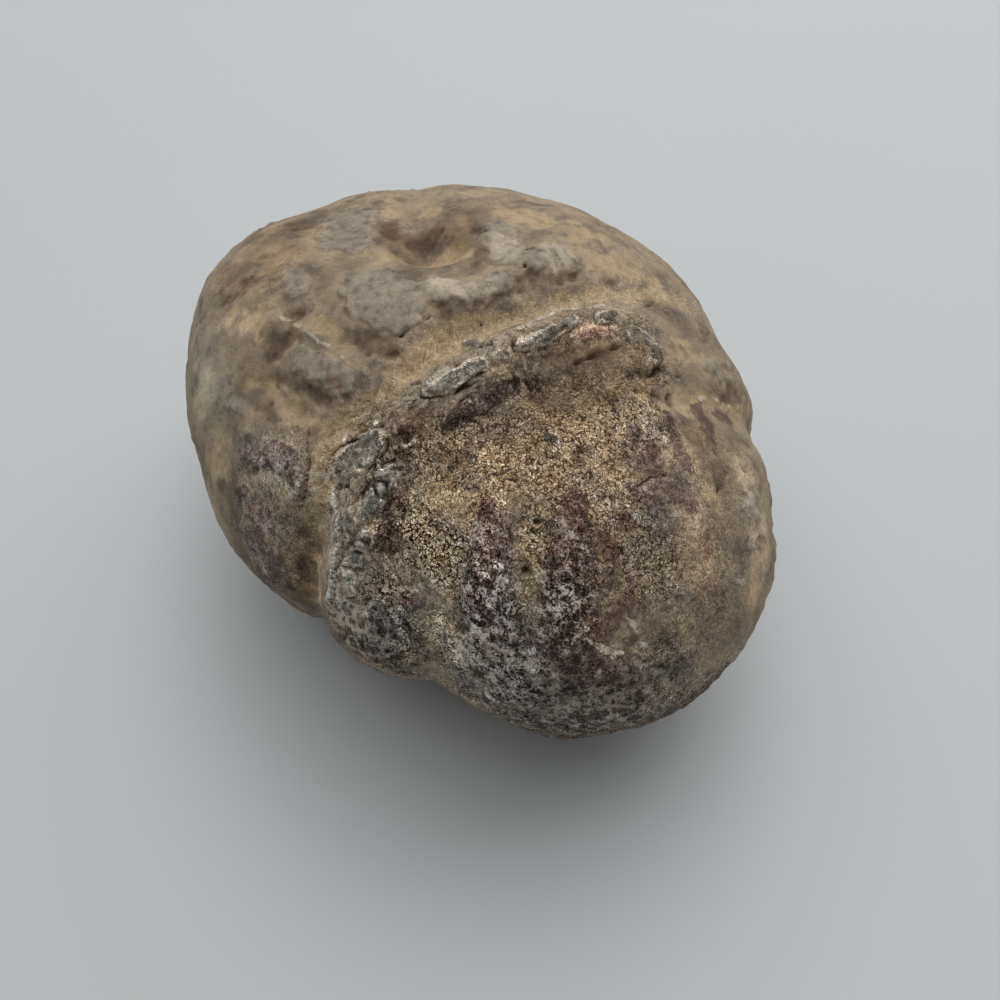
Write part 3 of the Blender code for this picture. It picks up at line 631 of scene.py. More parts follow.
# Tones make the skin paler or darker in patches. Some are the stone's own paler and darker patches, and many are
# painted light and shade. They darken under the ledge, the red band, the vein, the crest, the plate corner and the
# small lobe, in the upper pit and the hollows by the knob and the right pits, below the teal flakes, and low in
# the foot and along its rim, which face down. They lighten the top of the roll and the far left rim, where the
# light falls.
TONES = [
    ("over the left plate", -0.4, [(-50, 26.5, 2.2), (-45.5, 25, 2.7), (-42, 23.5, 1.9)]),
    ("left of the long plate", -0.3, [(-49.5, 22.5, 1.9), (-50.5, 19, 2.2)]),
    ("by the left plate", -0.3, [(-46, 35, 2.6), (-43, 32, 2.2)]),
    ("between the plates", -0.3, [(-39, 46.5, 2.4), (-38, 38, 2.7), (-35, 34.5, 2.4)]),
    ("over the round plate", -0.3, [(-35.5, 48, 2.3), (-37, 52.5, 2.3)]),
    ("right of the vein", -0.3, [(-29, 24.5, 2.1), (-25.5, 23.5, 2)]),
    ("end of the vein", -0.3, [(-24, 19, 1.5), (-23.5, 16.5, 1.4)]),
    (
        "under the long plate", -0.3,
        [(-47.5, 14, 1.8), (-40.5, 12.5, 1.7), (-35.5, 10, 1.8), (-31, 8.5, 1.7)],
    ),
    ("right of the long plate", -0.3, [(-26, 12, 1.3)]),
    ("left brown patch", -0.2, [(-58.5, 41, 3.2)]),
    ("left edge patch", -0.2, [(-68, 37, 2.5), (-71.5, 38.5, 2.5)]),
    ("top left edge", -0.3, [(-57, 68.5, 3.6), (-53, 80, 3.1)]),
    ("left grey patch", -0.3, [(-59.5, 12, 2.2)]),
    ("left low grey patch", -0.2, [(-69, 5, 3.6), (-59, 4, 2.6)]),
    ("under the left pit", -0.3, [(-50, 7, 1.3)]),
    ("top left", -0.1, [(-48.5, 51.5, 2.5), (-50, 56, 2.5)]),
    ("top left spot", -0.2, [(-41, 68.5, 1.6), (-42, 71, 1.6)]),
    ("left of the upper pit", -0.3, [(-29.5, 69.5, 2.6), (-24, 66.5, 3.1)]),
    ("upper pit", -0.4, [(-19, 66, 2.3), (-12.5, 65.5, 2.9)]),
    ("below the upper pit", -0.3, [(-21, 58, 3.5), (-15.5, 42, 2.5)]),
    ("top", -0.2, [(-19.5, 79, 3)]),
    ("right of the upper pit", -0.3, [(-3.5, 70.5, 3.6), (1, 64.5, 3.8), (2.5, 56.5, 3.1)]),
    ("low rim of the upper pit", -0.2, [(-0.5, 41, 2.2), (-0.5, 45, 2.2)]),
    ("pale left", 0.2, [(-61, 30.5, 3.1), (-55.5, 30, 2.7)]),
    ("pale left edge", 0.2, [(-74, 24, 3.2), (-72.5, 15.5, 3.2)]),
    ("pale left pit", 0.3, [(-55.5, 13.5, 1.9)]),
    ("pale below the left pit", 0.2, [(-51, 9, 1.7), (-44.5, 6.5, 1.7)]),
    ("pale groove", 0.4, [(-13, 23.5, 2.2), (-10, 22, 2), (-14.5, 21.5, 1.8)]),
    ("pale groove below", 0.2, [(-17.5, 13.5, 1.9), (-22, 11, 1.2)]),
    ("pale roll", 0.3, [(-8, 37, 2.5), (-2, 34.5, 1.8), (5.5, 35.5, 1.7)]),
    ("pale below the roll", 0.3, [(-4.5, 28.5, 1.6), (2, 31, 1.7), (6, 31.5, 1.5)]),
    ("pale groove above the ledge", 0.3, [(14, 34.5, 1.6), (18, 34.5, 1.6)]),
    ("ledge face", 0.5, [(7, 17, 1.6), (11.5, 17.5, 1.9), (15, 18.5, 1.5)]),
    ("ledge face on the left", 0.4, [(0, 12.5, 1.2), (4.5, 13.5, 1.5), (8, 14.5, 1.3)]),
    ("plate corner", 0.2, [(24.5, 40.5, 2.1), (28, 40, 1.6)]),
    ("red band", 0.5, [(26.5, 21.5, 1.5), (31, 22, 1.6)]),
    ("under the ledge", -0.5, [(17.5, 11.5, 2.4), (23.5, 9.5, 4.5), (28, 9.5, 4.6), (31.5, 12, 3.4)]),
    ("right pits", -0.4, [(35.5, 12, 2.2), (40.5, 11.5, 2.2)]),
    ("into the basin", -0.3, [(5.5, 5, 2.7), (11.5, 3.5, 3), (18, 3, 2.8), (23.5, 3, 2.3)]),
    ("end of the bar", -0.2, [(-3.5, 1, 2), (2, 2, 2.2)]),
    ("basin", -0.1, [(-9, -3, 3.4), (1.5, -4, 4.2), (11, -3, 3.6), (19, -2.5, 3.6)]),
    ("upper basin", -0.3, [(5.5, -1, 2.3), (13, -2.5, 2.5)]),
    ("right of the ledge", -0.2, [(40, 25, 2.7), (48.5, 31.5, 2.9), (52.5, 24.5, 3.8)]),
    ("lower basin", -0.2, [(-6.5, -8, 2.3), (1, -9, 2), (9.5, -10.5, 2.2), (17.5, -8.5, 2.2)]),
    ("by the ribs", -0.3, [(38, 0, 2.2), (42.5, -1.5, 2.8), (42.5, -4, 2.1)]),
    ("right edge", -0.2, [(61.5, -3, 1.5), (52.5, -4.5, 1.5)]),
    ("pale ribs", 0.3, [(32, 1, 1.4), (32, -3, 1.1), (33.5, -6, 1.1)]),
    ("pale patch on the right", 0.3, [(28.5, -11, 1.1), (32, -11, 0.8), (36, -13, 0.8)]),
    ("dome", -0.3, [(25.5, -18, 2.7), (28.5, -18, 2.7), (33, -21, 2.5)]),
    ("beside the second finger", -0.2, [(18, -17.5, 1.1), (18, -20, 1.1)]),
    ("low on the dome", -0.2, [(26, -23, 2.1), (25.5, -29, 2.4)]),
    ("right of the foot", -0.3, [(26, -31, 2.1), (27, -36.5, 2.3)]),
    ("low on the right", -0.3, [(34, -27, 2.3), (40, -27.5, 2.3), (35.5, -31, 2)]),
    ("middle of the dome", -0.2, [(23, -15, 1.5), (33.5, -14, 2.3)]),
    ("first finger", 0.3, [(0, -18, 1.2), (2.5, -20, 1.3), (1.5, -23, 1.4)]),
    ("low on the first finger", 0.5, [(-0.5, -27, 1.5), (1, -28, 1.4)]),
    ("valley", 0.3, [(7, -20.5, 1.2), (8.5, -20.5, 0.9)]),
    ("low on the second finger", 0.2, [(13, -24, 1.3), (12, -28, 1.4)]),
    ("left of the first finger", 0.2, [(-4.5, -21.5, 2), (-6.5, -27.5, 2.3)]),
    ("between the fingers", -0.4, [(5.5, -30.5, 1.3)]),
    ("crumbs", 0.3, [(3.5, -32.5, 1)]),
    ("left of the crumbs", 0.2, [(-2.5, -37.5, 1.1), (-4, -39.5, 1.1)]),
    ("right end of the foot", 0.4, [(17.5, -32.5, 1.1), (20.5, -34.5, 1.2)]),
    ("under the small lobe", -0.5, [(-24, -41, 2.7), (-19.5, -40.5, 2.8), (-15, -43.5, 3)]),
    ("small lobe", -0.3, [(-16.5, -33.5, 1.7)]),
    ("low in the foot", -0.5, [(5, -43.5, 1.6), (9.5, -40.5, 2.1), (13.5, -40.5, 2.1)]),
    ("rim of the foot", -0.5, [(7, -51, 2.2), (13, -49, 2.9), (18.5, -45, 2.9), (23, -43, 2.4)]),
    ("right rim of the foot", -0.3, [(23.5, -36, 1.6), (27.5, -36, 1.6), (30.5, -38, 1.5)]),
    ("pale left face", 0.3, [(-51, -3, 2.2), (-43, -3.5, 1.9)]),
    ("left rim", -0.3, [(-81, -4.5, 2.3), (-77, -10.5, 2.5)]),
    ("left face", -0.2, [(-57.5, -7, 2.4), (-52, -10, 2.2)]),
    ("low left face", -0.4, [(-41, -18, 2.1), (-37, -17.5, 1.7), (-33.5, -16.5, 1.7)]),
    ("low left rim", -0.2, [(-58.5, -20, 2.7), (-58.5, -27.5, 3.1)]),
    ("pale low left face", 0.2, [(-50, -16, 1.7), (-46.5, -20, 1.6)]),
    ("foot of the groove", 0.3, [(-34.5, -25, 2.1), (-36.5, -28, 1.8), (-25.5, -21, 1.2)]),
    ("left base", -0.5, [(-44.5, -36, 2.8), (-42.5, -39.5, 2.6), (-40.5, -42.5, 2)]),
    ("side of the ledge", 0.2, [(-29.5, 1.5, 1.6), (-26.5, 2.5, 1.6)]),
    ("side of the ledge, lower", 0.2, [(-31.5, -5.5, 1.3)]),
    ("under the grey flake", 0.2, [(-23.5, -7, 1.9), (-20.5, -6, 0.9)]),
    ("edge of the left face", -0.3, [(-38.5, 0.5, 1.4), (-36.5, -2.5, 1.3)]),
    ("by the teal flakes", 0.2, [(-16, -14.5, 1.1), (-19, -19, 1.1)]),
    ("below the teal flakes", -0.3, [(-18, -21.5, 1.2), (-22.5, -22, 1.1)]),
    ("top left wall", -0.3, [(-62.5, 60.5, 3.7), (-53.5, 63.5, 3.6)]),
    ("below it", -0.3, [(-57, 49, 3.4), (-53.5, 42, 2.5)]),
    ("left wall of the upper pit", -0.4, [(-26.5, 62.5, 3.3), (-22.5, 61.5, 2.3), (-18.5, 60.5, 3.6)]),
    ("foot of the upper pit", -0.3, [(-21.5, 44.5, 2.3), (-13, 42.5, 2.3)]),
    ("left of the round plate", -0.3, [(-31, 30.5, 1.4), (-32, 27.5, 1.7)]),
    ("dark spot over it", -0.3, [(-42.5, 45, 1.8), (-44, 47.5, 1.8)]),
    ("under the vein", -0.3, [(-40, 24.5, 1.7), (-35, 21.5, 1.8), (-29.5, 23, 1.8)]),
    ("pale over the left plate", 0.3, [(-50.5, 28.5, 2)]),
    ("pale on the left plate", 0.3, [(-44.5, 23, 1.9)]),
    ("pale by the round plate", 0.3, [(-23.5, 21.5, 2)]),
    ("far left rim", 0.3, [(-70, 18, 3.4), (-69, 12.5, 3.9), (-75.5, 7.5, 3.2)]),
    ("pale under the round plate", 0.3, [(-10.5, 27, 1.9), (-7.5, 25, 1.3), (-3.5, 25, 1.4)]),
    ("pale in the groove", 0.2, [(-15.5, 21, 1.3), (-15.5, 17, 1.4)]),
    ("pale pits", 0.3, [(-49.5, 13, 1.5), (-44.5, 12, 1.5)]),
    ("pale long plate", 0.3, [(-31, 12, 1.4)]),
    ("pale by the crack", 0.3, [(-23, 10.5, 1)]),
    ("dark by the left pit", -0.3, [(-58.5, 11.5, 1.4)]),
    ("dark olive stain", -0.3, [(-44.5, 7.5, 1.7)]),
    ("pale by the groove", 0.2, [(-37, 5.5, 2.1)]),
    ("dark top", -0.3, [(4.5, 69, 4.3), (11, 66.5, 2.5)]),
    ("dark beside the upper pit", -0.2, [(-5, 64.5, 2.2), (1, 53.5, 2.3)]),
    ("dark on the top right plate", -0.3, [(19, 55.5, 2.3), (17, 45.5, 3.1)]),
    ("over the roll", -0.2, [(1, 42, 2.8), (5, 46.5, 2.1)]),
    ("under the roll", 0.2, [(-7, 34, 1.4), (0.5, 32.5, 1.5), (8.5, 32.5, 1.3), (14, 35.5, 1.4)]),
    ("under the plate corner", -0.4, [(18, 37.5, 1.2)]),
    ("dark on the crest", -0.3, [(2.5, 19.5, 1.6), (4.5, 19, 1.6), (7, 16, 1)]),
    ("pale band on the crest", 0.4, [(11, 20, 0.9), (11, 17.5, 1)]),
    ("pale over the second flake", 0.3, [(17, 20.5, 1.1)]),
    ("red band again", 0.5, [(24.5, 19.5, 1.1), (27.5, 21.5, 1.7), (32.5, 21.5, 1.4)]),
    ("under the red band", -0.5, [(25.5, 14, 1.1), (28.5, 15, 1.5), (33.5, 17, 1.3)]),
    ("right patch", -0.4, [(36, 20.5, 1.2), (37.5, 18.5, 1.5), (37.5, 15.5, 1.9), (36.5, 11, 1.6)]),
    ("pad under the long flake", 0.4, [(0, 12, 1.2), (2.5, 13, 1.7), (5.5, 13, 1.3), (10.5, 13, 1.2)]),
    ("left end of the long flake", 0.5, [(-7.5, 8, 1.2)]),
    ("hollow under the knob", -0.1, [(10, 7.5, 1.7), (7.5, 4, 1.8)]),
    ("hollow to its right", -0.4, [(16, 6, 1.6), (20, 5, 1.7)]),
    ("hollow under the right pits", -0.4, [(27, 6.5, 1.4), (28.5, 4, 1.6)]),
    ("pale under the red band", 0.3, [(32.5, 11.5, 1.3), (30, 8.5, 1)]),
    ("right shoulder", -0.3, [(47, 30.5, 2.7), (53.5, 26.5, 3.3), (57, 19, 2.7)]),
    ("pale right bump", 0.2, [(49.5, 7.5, 1.8), (57.5, 6.5, 2.4)]),
    ("pale over the ribs", 0.2, [(35.5, 2, 1.7), (33.5, -1, 1.1)]),
    ("dark by the seam", -0.3, [(41.5, -6, 1.2), (50.5, -0.5, 2), (54.5, -2.5, 2.1)]),
    ("dark right rim", -0.5, [(74, -1, 1.6), (67.5, -2, 1.6)]),
    ("dark between the ribs", -0.3, [(38, -4, 1.2)]),
    ("dark by the second finger", -0.4, [(18.5, -16.5, 0.9), (19, -18, 0.9)]),
    ("dark below it", -0.4, [(17, -20, 1), (18.5, -20, 0.7)]),
    ("dark lower still", -0.4, [(20.5, -23.5, 0.9)]),
    ("pale on the dome", 0.3, [(24.5, -21, 1)]),
    ("pale by the dome pit", 0.3, [(30, -21, 0.8)]),
    ("pale on the flank patch", 0.3, [(28.5, -11, 1)]),
    ("dark under the ribs", -0.3, [(28.5, -6.5, 1), (31, -7.5, 1)]),
    ("dark right flank", -0.3, [(39.5, -19.5, 1.4), (43.5, -22, 2)]),
    ("right rim", -0.2, [(57, -19, 1.9), (54, -23.5, 1.9), (51.5, -30, 1.9), (48.5, -35, 1.8)]),
    ("dark low on the right", -0.2, [(26, -32.5, 0.9), (28.5, -32, 1.1)]),
    ("pale low on the right", 0.3, [(27, -34, 0.8), (32, -35, 1)]),
    ("pale right edge", 0.2, [(50.5, -9, 1.9), (54.5, -11.5, 1.6)]),
    ("pale over the crack", 0.3, [(5.5, -8, 1.2)]),
    ("pale basin", 0.3, [(10.5, -1, 1.1)]),
    ("pale by the basin spots", 0.3, [(19, -4, 1)]),
    ("dark basin", -0.3, [(-5.5, -8, 1.3), (1.5, -1, 1.2)]),
    ("pale first finger", 0.3, [(2.5, -13.5, 0.6), (3.5, -17.5, 0.9), (2.5, -19, 0.7)]),
    ("pale valley", 0.3, [(7, -20.5, 0.7)]),
    ("dark valley pit", -0.4, [(7, -22.5, 0.9)]),
    ("left edge of the second finger", -0.4, [(12.5, -22, 0.8), (11.5, -24, 0.8), (10.5, -26.5, 0.8)]),
    ("pale foot of the second finger", 0.5, [(12.5, -28.5, 1), (14, -30, 0.7)]),
    ("dark between the fingers", -0.4, [(3.5, -34, 1), (5.5, -30.5, 1.2), (8, -31.5, 0.9)]),
    ("pale by the valley", 0.3, [(11.5, -15, 0.9)]),
    ("pale top of the small lobe", 0.5, [(-13.5, -29, 1.1), (-11, -29, 1.4)]),
    ("pale left face, upper", 0.3, [(-48, -2, 1.6), (-42, -3.5, 1.7)]),
    ("pale grey flake", 0.3, [(-30.5, -5.5, 1.4), (-23, -7.5, 1.1), (-20.5, -5.5, 1.2)]),
    ("pale fibres", 0.5, [(-15, 1, 1.4), (-11.5, -1.5, 1.2)]),
    ("dark fibres", -0.4, [(-14.5, -4.5, 1)]),
    ("dark streak on the left face", -0.3, [(-45.5, -13, 1.1), (-43.5, -16.5, 1.3)]),
    ("dark by the groove", -0.3, [(-35.5, -19, 1.2), (-32, -19, 1.4)]),
    ("pale patch on the left face", 0.4, [(-50.5, -16.5, 1.7)]),
    ("pale patch below it", 0.3, [(-47, -21, 1.4), (-45.5, -24, 1.4)]),
    ("pale by the teal flakes", 0.3, [(-18, -12.5, 0.7), (-16, -14, 1.3)]),
    ("pale by the fan", 0.3, [(-22, -19.5, 0.9), (-19, -19.5, 1.1)]),
    ("pale side of the ledge", 0.3, [(-25.5, -21, 1), (-28, -24, 1.9), (-23.5, -24.5, 0.9)]),
    ("pale foot of the groove", 0.4, [(-36, -28, 1.8), (-34.5, -31, 2), (-37.5, -37, 1.8)]),
    ("dark foot of the groove", -0.3, [(-37.5, -25.5, 1), (-40.5, -33.5, 1.5)]),
    ("dark left base", -0.3, [(-43.5, -41.5, 3), (-41.5, -45, 2.2)]),
    ("dark small lobe", -0.5, [(-23.5, -38, 2.3), (-19, -36, 2), (-15, -35.5, 1.5)]),
    ("dark top of the small lobe", -0.3, [(-16.5, -32, 1.1)]),
    ("dark fan", -0.4, [(-16.5, -17, 1.1), (-16, -21, 0.9)]),
    ("darkest foot", -0.6, [(12.5, -32.5, 1.1), (13.5, -36, 1.3)]),
    ("dark foot", -0.6, [(5, -42.5, 1.8), (11, -41, 1.8), (15, -40.5, 2.1), (19.5, -39.5, 1.7)]),
    (
        "dark rim of the foot", -0.5,
        [(3.5, -52.5, 1.8), (8.5, -53, 2.1), (13.5, -52.5, 1.8), (19.5, -49.5, 2.2), (23, -47, 1.9)],
    ),
    ("dark right end of the foot", -0.5, [(24, -39.5, 1.4), (26, -37, 1.6), (30, -36, 1.4)]),
    ("dark base of the small lobe", -0.5, [(-15, -44.5, 2.2), (-11.5, -46.5, 1.8)]),
    ("pale on the right of the foot", 0.4, [(27.5, -34, 1.1)]),
    ("pale crumbs by the foot", 0.4, [(0, -37, 1.2), (3.5, -33.5, 1)]),
    ("pale end of the foot", 0.3, [(20.5, -33.5, 1.2)]),
    ("pale left of the foot", 0.3, [(-3, -40, 0.9), (-4, -42, 0.9)]),
    ("left of the foot", -0.3, [(0, -38.5, 3.1), (5, -40, 3), (9.5, -40.5, 2.5)]),
    ("small lobe, all over", 0.1, [(-18.5, -34, 3.1), (-16, -38.5, 3.3)]),
    ("bar", -0.1, [(-3.5, 2.5, 1.7), (4.5, 7, 2.1)]),
    ("valley by the small lobe", 0.2, [(-7, -36.5, 1.7), (-4.5, -40, 1.8)]),
    ("flake over the bar", 0.5, [(-6.5, 9.5, 1.2), (-3, 11, 1.5), (2.5, 14, 1.2)]),
    ("red band, all over", 0.6, [(23, 19.5, 2.1), (27.5, 21.5, 2.4), (32.5, 21, 2)]),
    ("first finger, all over", 0.5, [(2, -16.5, 2.1), (2, -22, 2.4)]),
    ("first finger, foot", 0.6, [(1.5, -25, 2.4), (1.5, -32, 2.6)]),
    ("valley by the small lobe, all over", 0.6, [(-7, -34.5, 2.2), (-4.5, -40, 2.4)]),
    ("top right plate, all over", 0.3, [(11, 52, 6.5), (25, 45, 4.8)]),
    ("side of the ledge, all over", 0.3, [(-30, -12.5, 3.2), (-26.5, -24, 2.5), (-25, -31.5, 2)]),
    ("ribs, all over", 0.3, [(32.5, -3.5, 2.9), (38, -5, 3.1)]),
    ("right rim, all over", 0.4, [(52.5, -11, 3.5), (50.5, -21, 3.7), (48, -28.5, 3.2)]),
    ("left face, all over", 0.3, [(-51, -5.5, 5), (-39.5, -9.5, 3.7)]),
    ("groove by the left face", 0.2, [(-34, -10, 2.3), (-33, -3.5, 2.4)]),
    ("middle of the basin", 0.1, [(16.5, -2.5, 3.9), (26, 0, 3.3)]),
    ("roll, all over", 0.2, [(-7, 35.5, 3.2), (8, 36, 2.8)]),
    ("right of the dome", 0.4, [(35, -15.5, 3.2), (34.5, -22.5, 2.9)]),
    ("low groove, lower", 0.2, [(-36, -34, 3.1), (-36, -37.5, 2.8)]),
    ("left of the first finger, all over", 0.2, [(-6, -22, 2.4), (-6.5, -29.5, 2.4)]),
    ("left flank, all over", -0.2, [(-62, -15.5, 5), (-56, -30.5, 5.4)]),
    ("second finger, foot", -0.5, [(13.5, -24.5, 2.2), (13, -28.5, 2.2)]),
    ("left pit, all over", -0.1, [(-55.5, 12.5, 1.9), (-41.5, 5.5, 2.1)]),
    ("top left plate, all over", -0.1, [(-40, 74, 6.3), (-38.5, 59.5, 5.6)]),
    ("upper pit, all over", -0.1, [(-19.5, 65, 2.9), (-9, 64, 3.2)]),
    ("by the fibres", 0.3, [(-19.5, -1.5, 2.4), (-16.5, -4, 1.9)]),
    ("beside the teal flakes, right", 0.4, [(-13.5, -14, 1.7)]),
    ("chips, upper", 0.3, [(-24.5, -21.5, 1.5)]),
    ("below the fan", 0.3, [(-16.5, -24, 1.6), (-15, -28.5, 1.7), (-10.5, -29, 1.8)]),
    ("over the long crack", 0.3, [(5, -8, 1.5)]),
    ("by the valley, upper", 0.3, [(11.5, -15, 1.3)]),
    ("left of the first finger, upper", 0.3, [(-2.5, -20.5, 1.4), (-2, -25.5, 1.2)]),
    ("under the bar, left", 0.3, [(-3.5, 5.5, 1.8), (-0.5, 7, 1.6)]),
    ("finger edge", 0.3, [(6.5, -17, 1.1)]),
    ("right of the basin, low", 0.2, [(14.5, -9, 1.4), (20.5, -13, 1.8)]),
    ("dome, upper right", 0.2, [(29.5, -11.5, 1.4), (26, -16.5, 1.5)]),
    ("pale joint of the teal flakes", -0.4, [(-20.5, -11, 1.3), (-19.5, -10, 0.9)]),
    ("crest, left end", 0.3, [(-30, -4, 1.7), (-24.5, 1, 1.9)]),
    ("knob side", 0.2, [(19.5, 7, 2), (24.5, 4.5, 1.8)]),
    ("basin, left", 0.3, [(-9, -5, 4.2), (1.5, -2, 3.6)]),
    ("basin, over the fingers", 0.2, [(4.5, -10.5, 2.3), (14.5, -9, 1.9)]),
    ("side of the basin", 0.2, [(-10, -18, 2.8), (-15, -12, 2.4)]),
    ("under the far left plate", 0.3, [(-65.5, 28.5, 2.3), (-56, 26, 2), (-51, 23.5, 1.4)]),
    ("pale under the left plate", 0.3, [(-37, 13, 1.5), (-33.5, 9.5, 1.5)]),
    ("pale end of the groove", 0.4, [(-23, 14.5, 1), (-23, 10.5, 1.2)]),
    ("dark right of the vein", -0.3, [(-29.5, 23, 1.5), (-26, 19.5, 1.5)]),
    ("pale by the ledge", 0.2, [(-18, 20, 1.1)]),
    ("pale rim of the foot, left", 0.3, [(-0.5, -51.5, 1.8), (2.5, -46.5, 1.2)]),
    ("left plate, all over", 0.1, [(-58, 39, 3.2), (-59.5, 33, 3)]),
    ("lowest rim", 0.2, [(13, -47.5, 1.8), (19, -47, 1.9), (25, -45, 1.8)]),
    ("dark over the top left plate", -0.2, [(-57.5, 58.5, 2.8), (-54, 68.5, 3.3)]),
    ("dark plate edge", -0.2, [(-31.5, 50.5, 2.3), (-28.5, 53.5, 2.3)]),
    ("pale right of the ribs", 0.2, [(45.5, -3, 0.9), (43.5, -3.5, 0.9)]),
    ("pale left of the ribs", 0.3, [(27.5, -4.5, 1.2), (28.5, -2, 1.1)]),
    ("pale over the ribs, left", 0.2, [(34.5, 0, 1.2)]),
    ("dark between the pits", -0.3, [(34, 7.5, 1.3), (27.5, 4, 1.2)]),
    ("dark basin, upper right", -0.2, [(24.5, 4.5, 1.6), (27, 1.5, 1.3)]),
    ("dark shoulder", -0.2, [(50.5, 32.5, 2.3), (54, 31, 2)]),
    ("pale shoulder", 0.2, [(49.5, 27.5, 2), (53, 38, 2.1)]),
    ("basin, all over", 0.1, [(-6.5, -11, 4.4), (8, -9, 4.8), (21, -4.5, 4.5)]),
    ("low left face, all over", 0.1, [(-48, -21, 4), (-46.5, -29, 3.8)]),
    ("foot, all over", -0.2, [(12.5, -33, 3.1), (18, -39.5, 3)]),
    ("right pits, all over", 0.2, [(36.5, 12, 3.2), (43, 8.5, 3.2)]),
    ("groove, all over", 0.1, [(-17.5, 15.5, 2.6), (-5, 22.5, 3)]),
    ("under the crest", -0.2, [(12, 13, 1.4), (21, 17.5, 1.3)]),
    ("basin, again", 0.1, [(-6.5, -6, 4.9), (8, -9, 3.9)]),
    ("dome, again", 0.1, [(34.5, -17, 3.9), (34.5, -24, 3.2)]),
    ("bar, light streaks", 0.2, [(1.5, 7, 0.7), (5.5, 9, 0.7)]),
    ("low groove", -0.2, [(-37.5, -25, 1.7), (-38, -33, 1.9)]),
    ("ledge, again", 0.1, [(-8.5, 8, 2.1), (2.5, 14, 2.5), (20.5, 20.5, 2.5)]),
    ("low groove, again", -0.1, [(-37.5, -25, 1.7), (-38, -33, 1.9)]),
    ("basin4", -0.1, [(15, -7.5, 3.3)]),
    ("right flank", -0.1, [(43.5, -3.5, 4.4), (44, -10.5, 3.6)]),
    ("basin, upper left", -0.1, [(-4.5, -4, 3.3)]),
    ("basin, middle", -0.1, [(8, -9, 2.3)]),
    ("basin, top", 0.1, [(9.5, -0.5, 2.7)]),
    ("flank, middle", -0.1, [(32, -18, 2.5)]),
    ("dome, middle", 0.1, [(24.5, -23, 2.3)]),
    ("right pits, again", 0.1, [(38.5, 10.5, 3.1)]),
    ("first finger, again", 0.1, [(2.5, -18.5, 1.5), (1, -27.5, 1.9)]),
    ("left valley, again", 0.1, [(-5.5, -27.5, 2.3)]),
    ("low groove, third", -0.1, [(-35, -19, 1.8)]),
    ("dark tip of the grey flake", -0.2, [(-31, -9, 1), (-29.5, -8, 1.3)]),
    ("grey flake, left", 0.2, [(-29.5, -1.5, 1.6)]),
    ("ribbed patch and below", 0.1, [(31.5, -3, 3.3), (29, -12.5, 3.8), (26.5, -4.5, 2.1)]),
    ("flank, below the patch", -0.2, [(33, -23, 2), (34.5, -17, 1.6)]),
    ("low in the right basin", -0.1, [(37, -21, 1.6)]),
    ("second ribs", 0.1, [(45.5, -4.5, 3.1), (36.5, -12, 1.7)]),
    ("left face, middle", 0.1, [(-45.5, -14, 3.7), (-47, -23.5, 4)]),
    ("low left groove, right", 0.1, [(-27.5, -25, 1.4), (-34.5, -29.5, 1.4)]),
    ("low left groove, below", -0.1, [(-44, -46.5, 1.7), (-40.5, -41.5, 1.7)]),
    ("side of the fan", 0.2, [(-19.5, -11.5, 1.8), (-18, -20.5, 2.3)]),
    ("by the fibres, right", 0.1, [(-14, -15.5, 1.7)]),
    ("under the bar, left end", 0.1, [(-4, 4, 1.7)]),
    ("between the fingers, low", 0.1, [(9.5, -19, 1.4)]),
    ("right of the second finger", 0.1, [(19, -18.5, 2.1)]),
    ("foot, left edge", -0.1, [(-25.5, -46, 3.5), (-17.5, -48, 3.4), (-8.5, -59, 4.7)]),
    ("ribbed patch, again", -0.1, [(34, -4.5, 2.2)]),
    ("seam on the right", 0.1, [(49, 4.5, 2.3)]),
    ("valley top", -0.1, [(5, -5, 1.6)]),
    ("teal flakes, again", -0.1, [(-20.5, -13.5, 1.4)]),
    ("first finger, lower", 0.1, [(1, -27.5, 1.9)]),
    ("left of the grey flake", 0.1, [(-29.5, -1.5, 1.6)]),
    ("low groove, lower", 0.1, [(-34, -33.5, 1.6), (-39, -37.5, 1.6)]),
    ("bar, again", 0.1, [(2, 6, 2)]),
    ("ribbed patch, third", -0.1, [(34, -4.5, 2.2)]),
    ("second finger, lower", -0.1, [(13.5, -25.5, 1.9)]),
    ("valley by the lobe", 0.1, [(-5.5, -38, 2.2)]),
    ("lower teal flake", -0.1, [(-20.5, -13.5, 1.4)]),
    ("left of the grey flake, again", 0.1, [(-29.5, -1.5, 1.6)]),
    ("grey plate", 0, [(-43.5, 35, 4.6)]),
    ("gap right of the lower teal flake", 0.3, [(-16.5, -14, 1.3)]),
    ("gap under the grey flake", 0.3, [(-21.5, -10, 1.3)]),
    ("fan, light", 0.2, [(-17, -19.5, 1.4)]),
    ("above the upper teal flake", 0.2, [(-17.5, -4.5, 1.3)]),
    ("under the second flake", 0.2, [(11, 12, 1.4), (14, 16, 1.3), (18, 17.5, 1.3)]),
    ("behind the crest", 0.2, [(2.5, 30, 1.1), (9, 31.5, 1.4)]),
    ("top of the small lobe", 0.2, [(-12, -34, 1.3)]),
    ("end of the first finger, side", 0.2, [(6, -27.5, 1)]),
    ("second finger, light", 0.2, [(16.5, -22, 1), (12.5, -29.5, 1)]),
    ("under the bar", 0.2, [(-2, 3.5, 1.3)]),
    ("ledge side, light", 0.1, [(-24.5, -20.5, 1.3)]),
    ("first finger foot", -0.1, [(5, -30.5, 1.1), (3.5, -23.5, 0.9)]),
    ("right flank, low", -0.1, [(34.5, -22.5, 1.3)]),
]
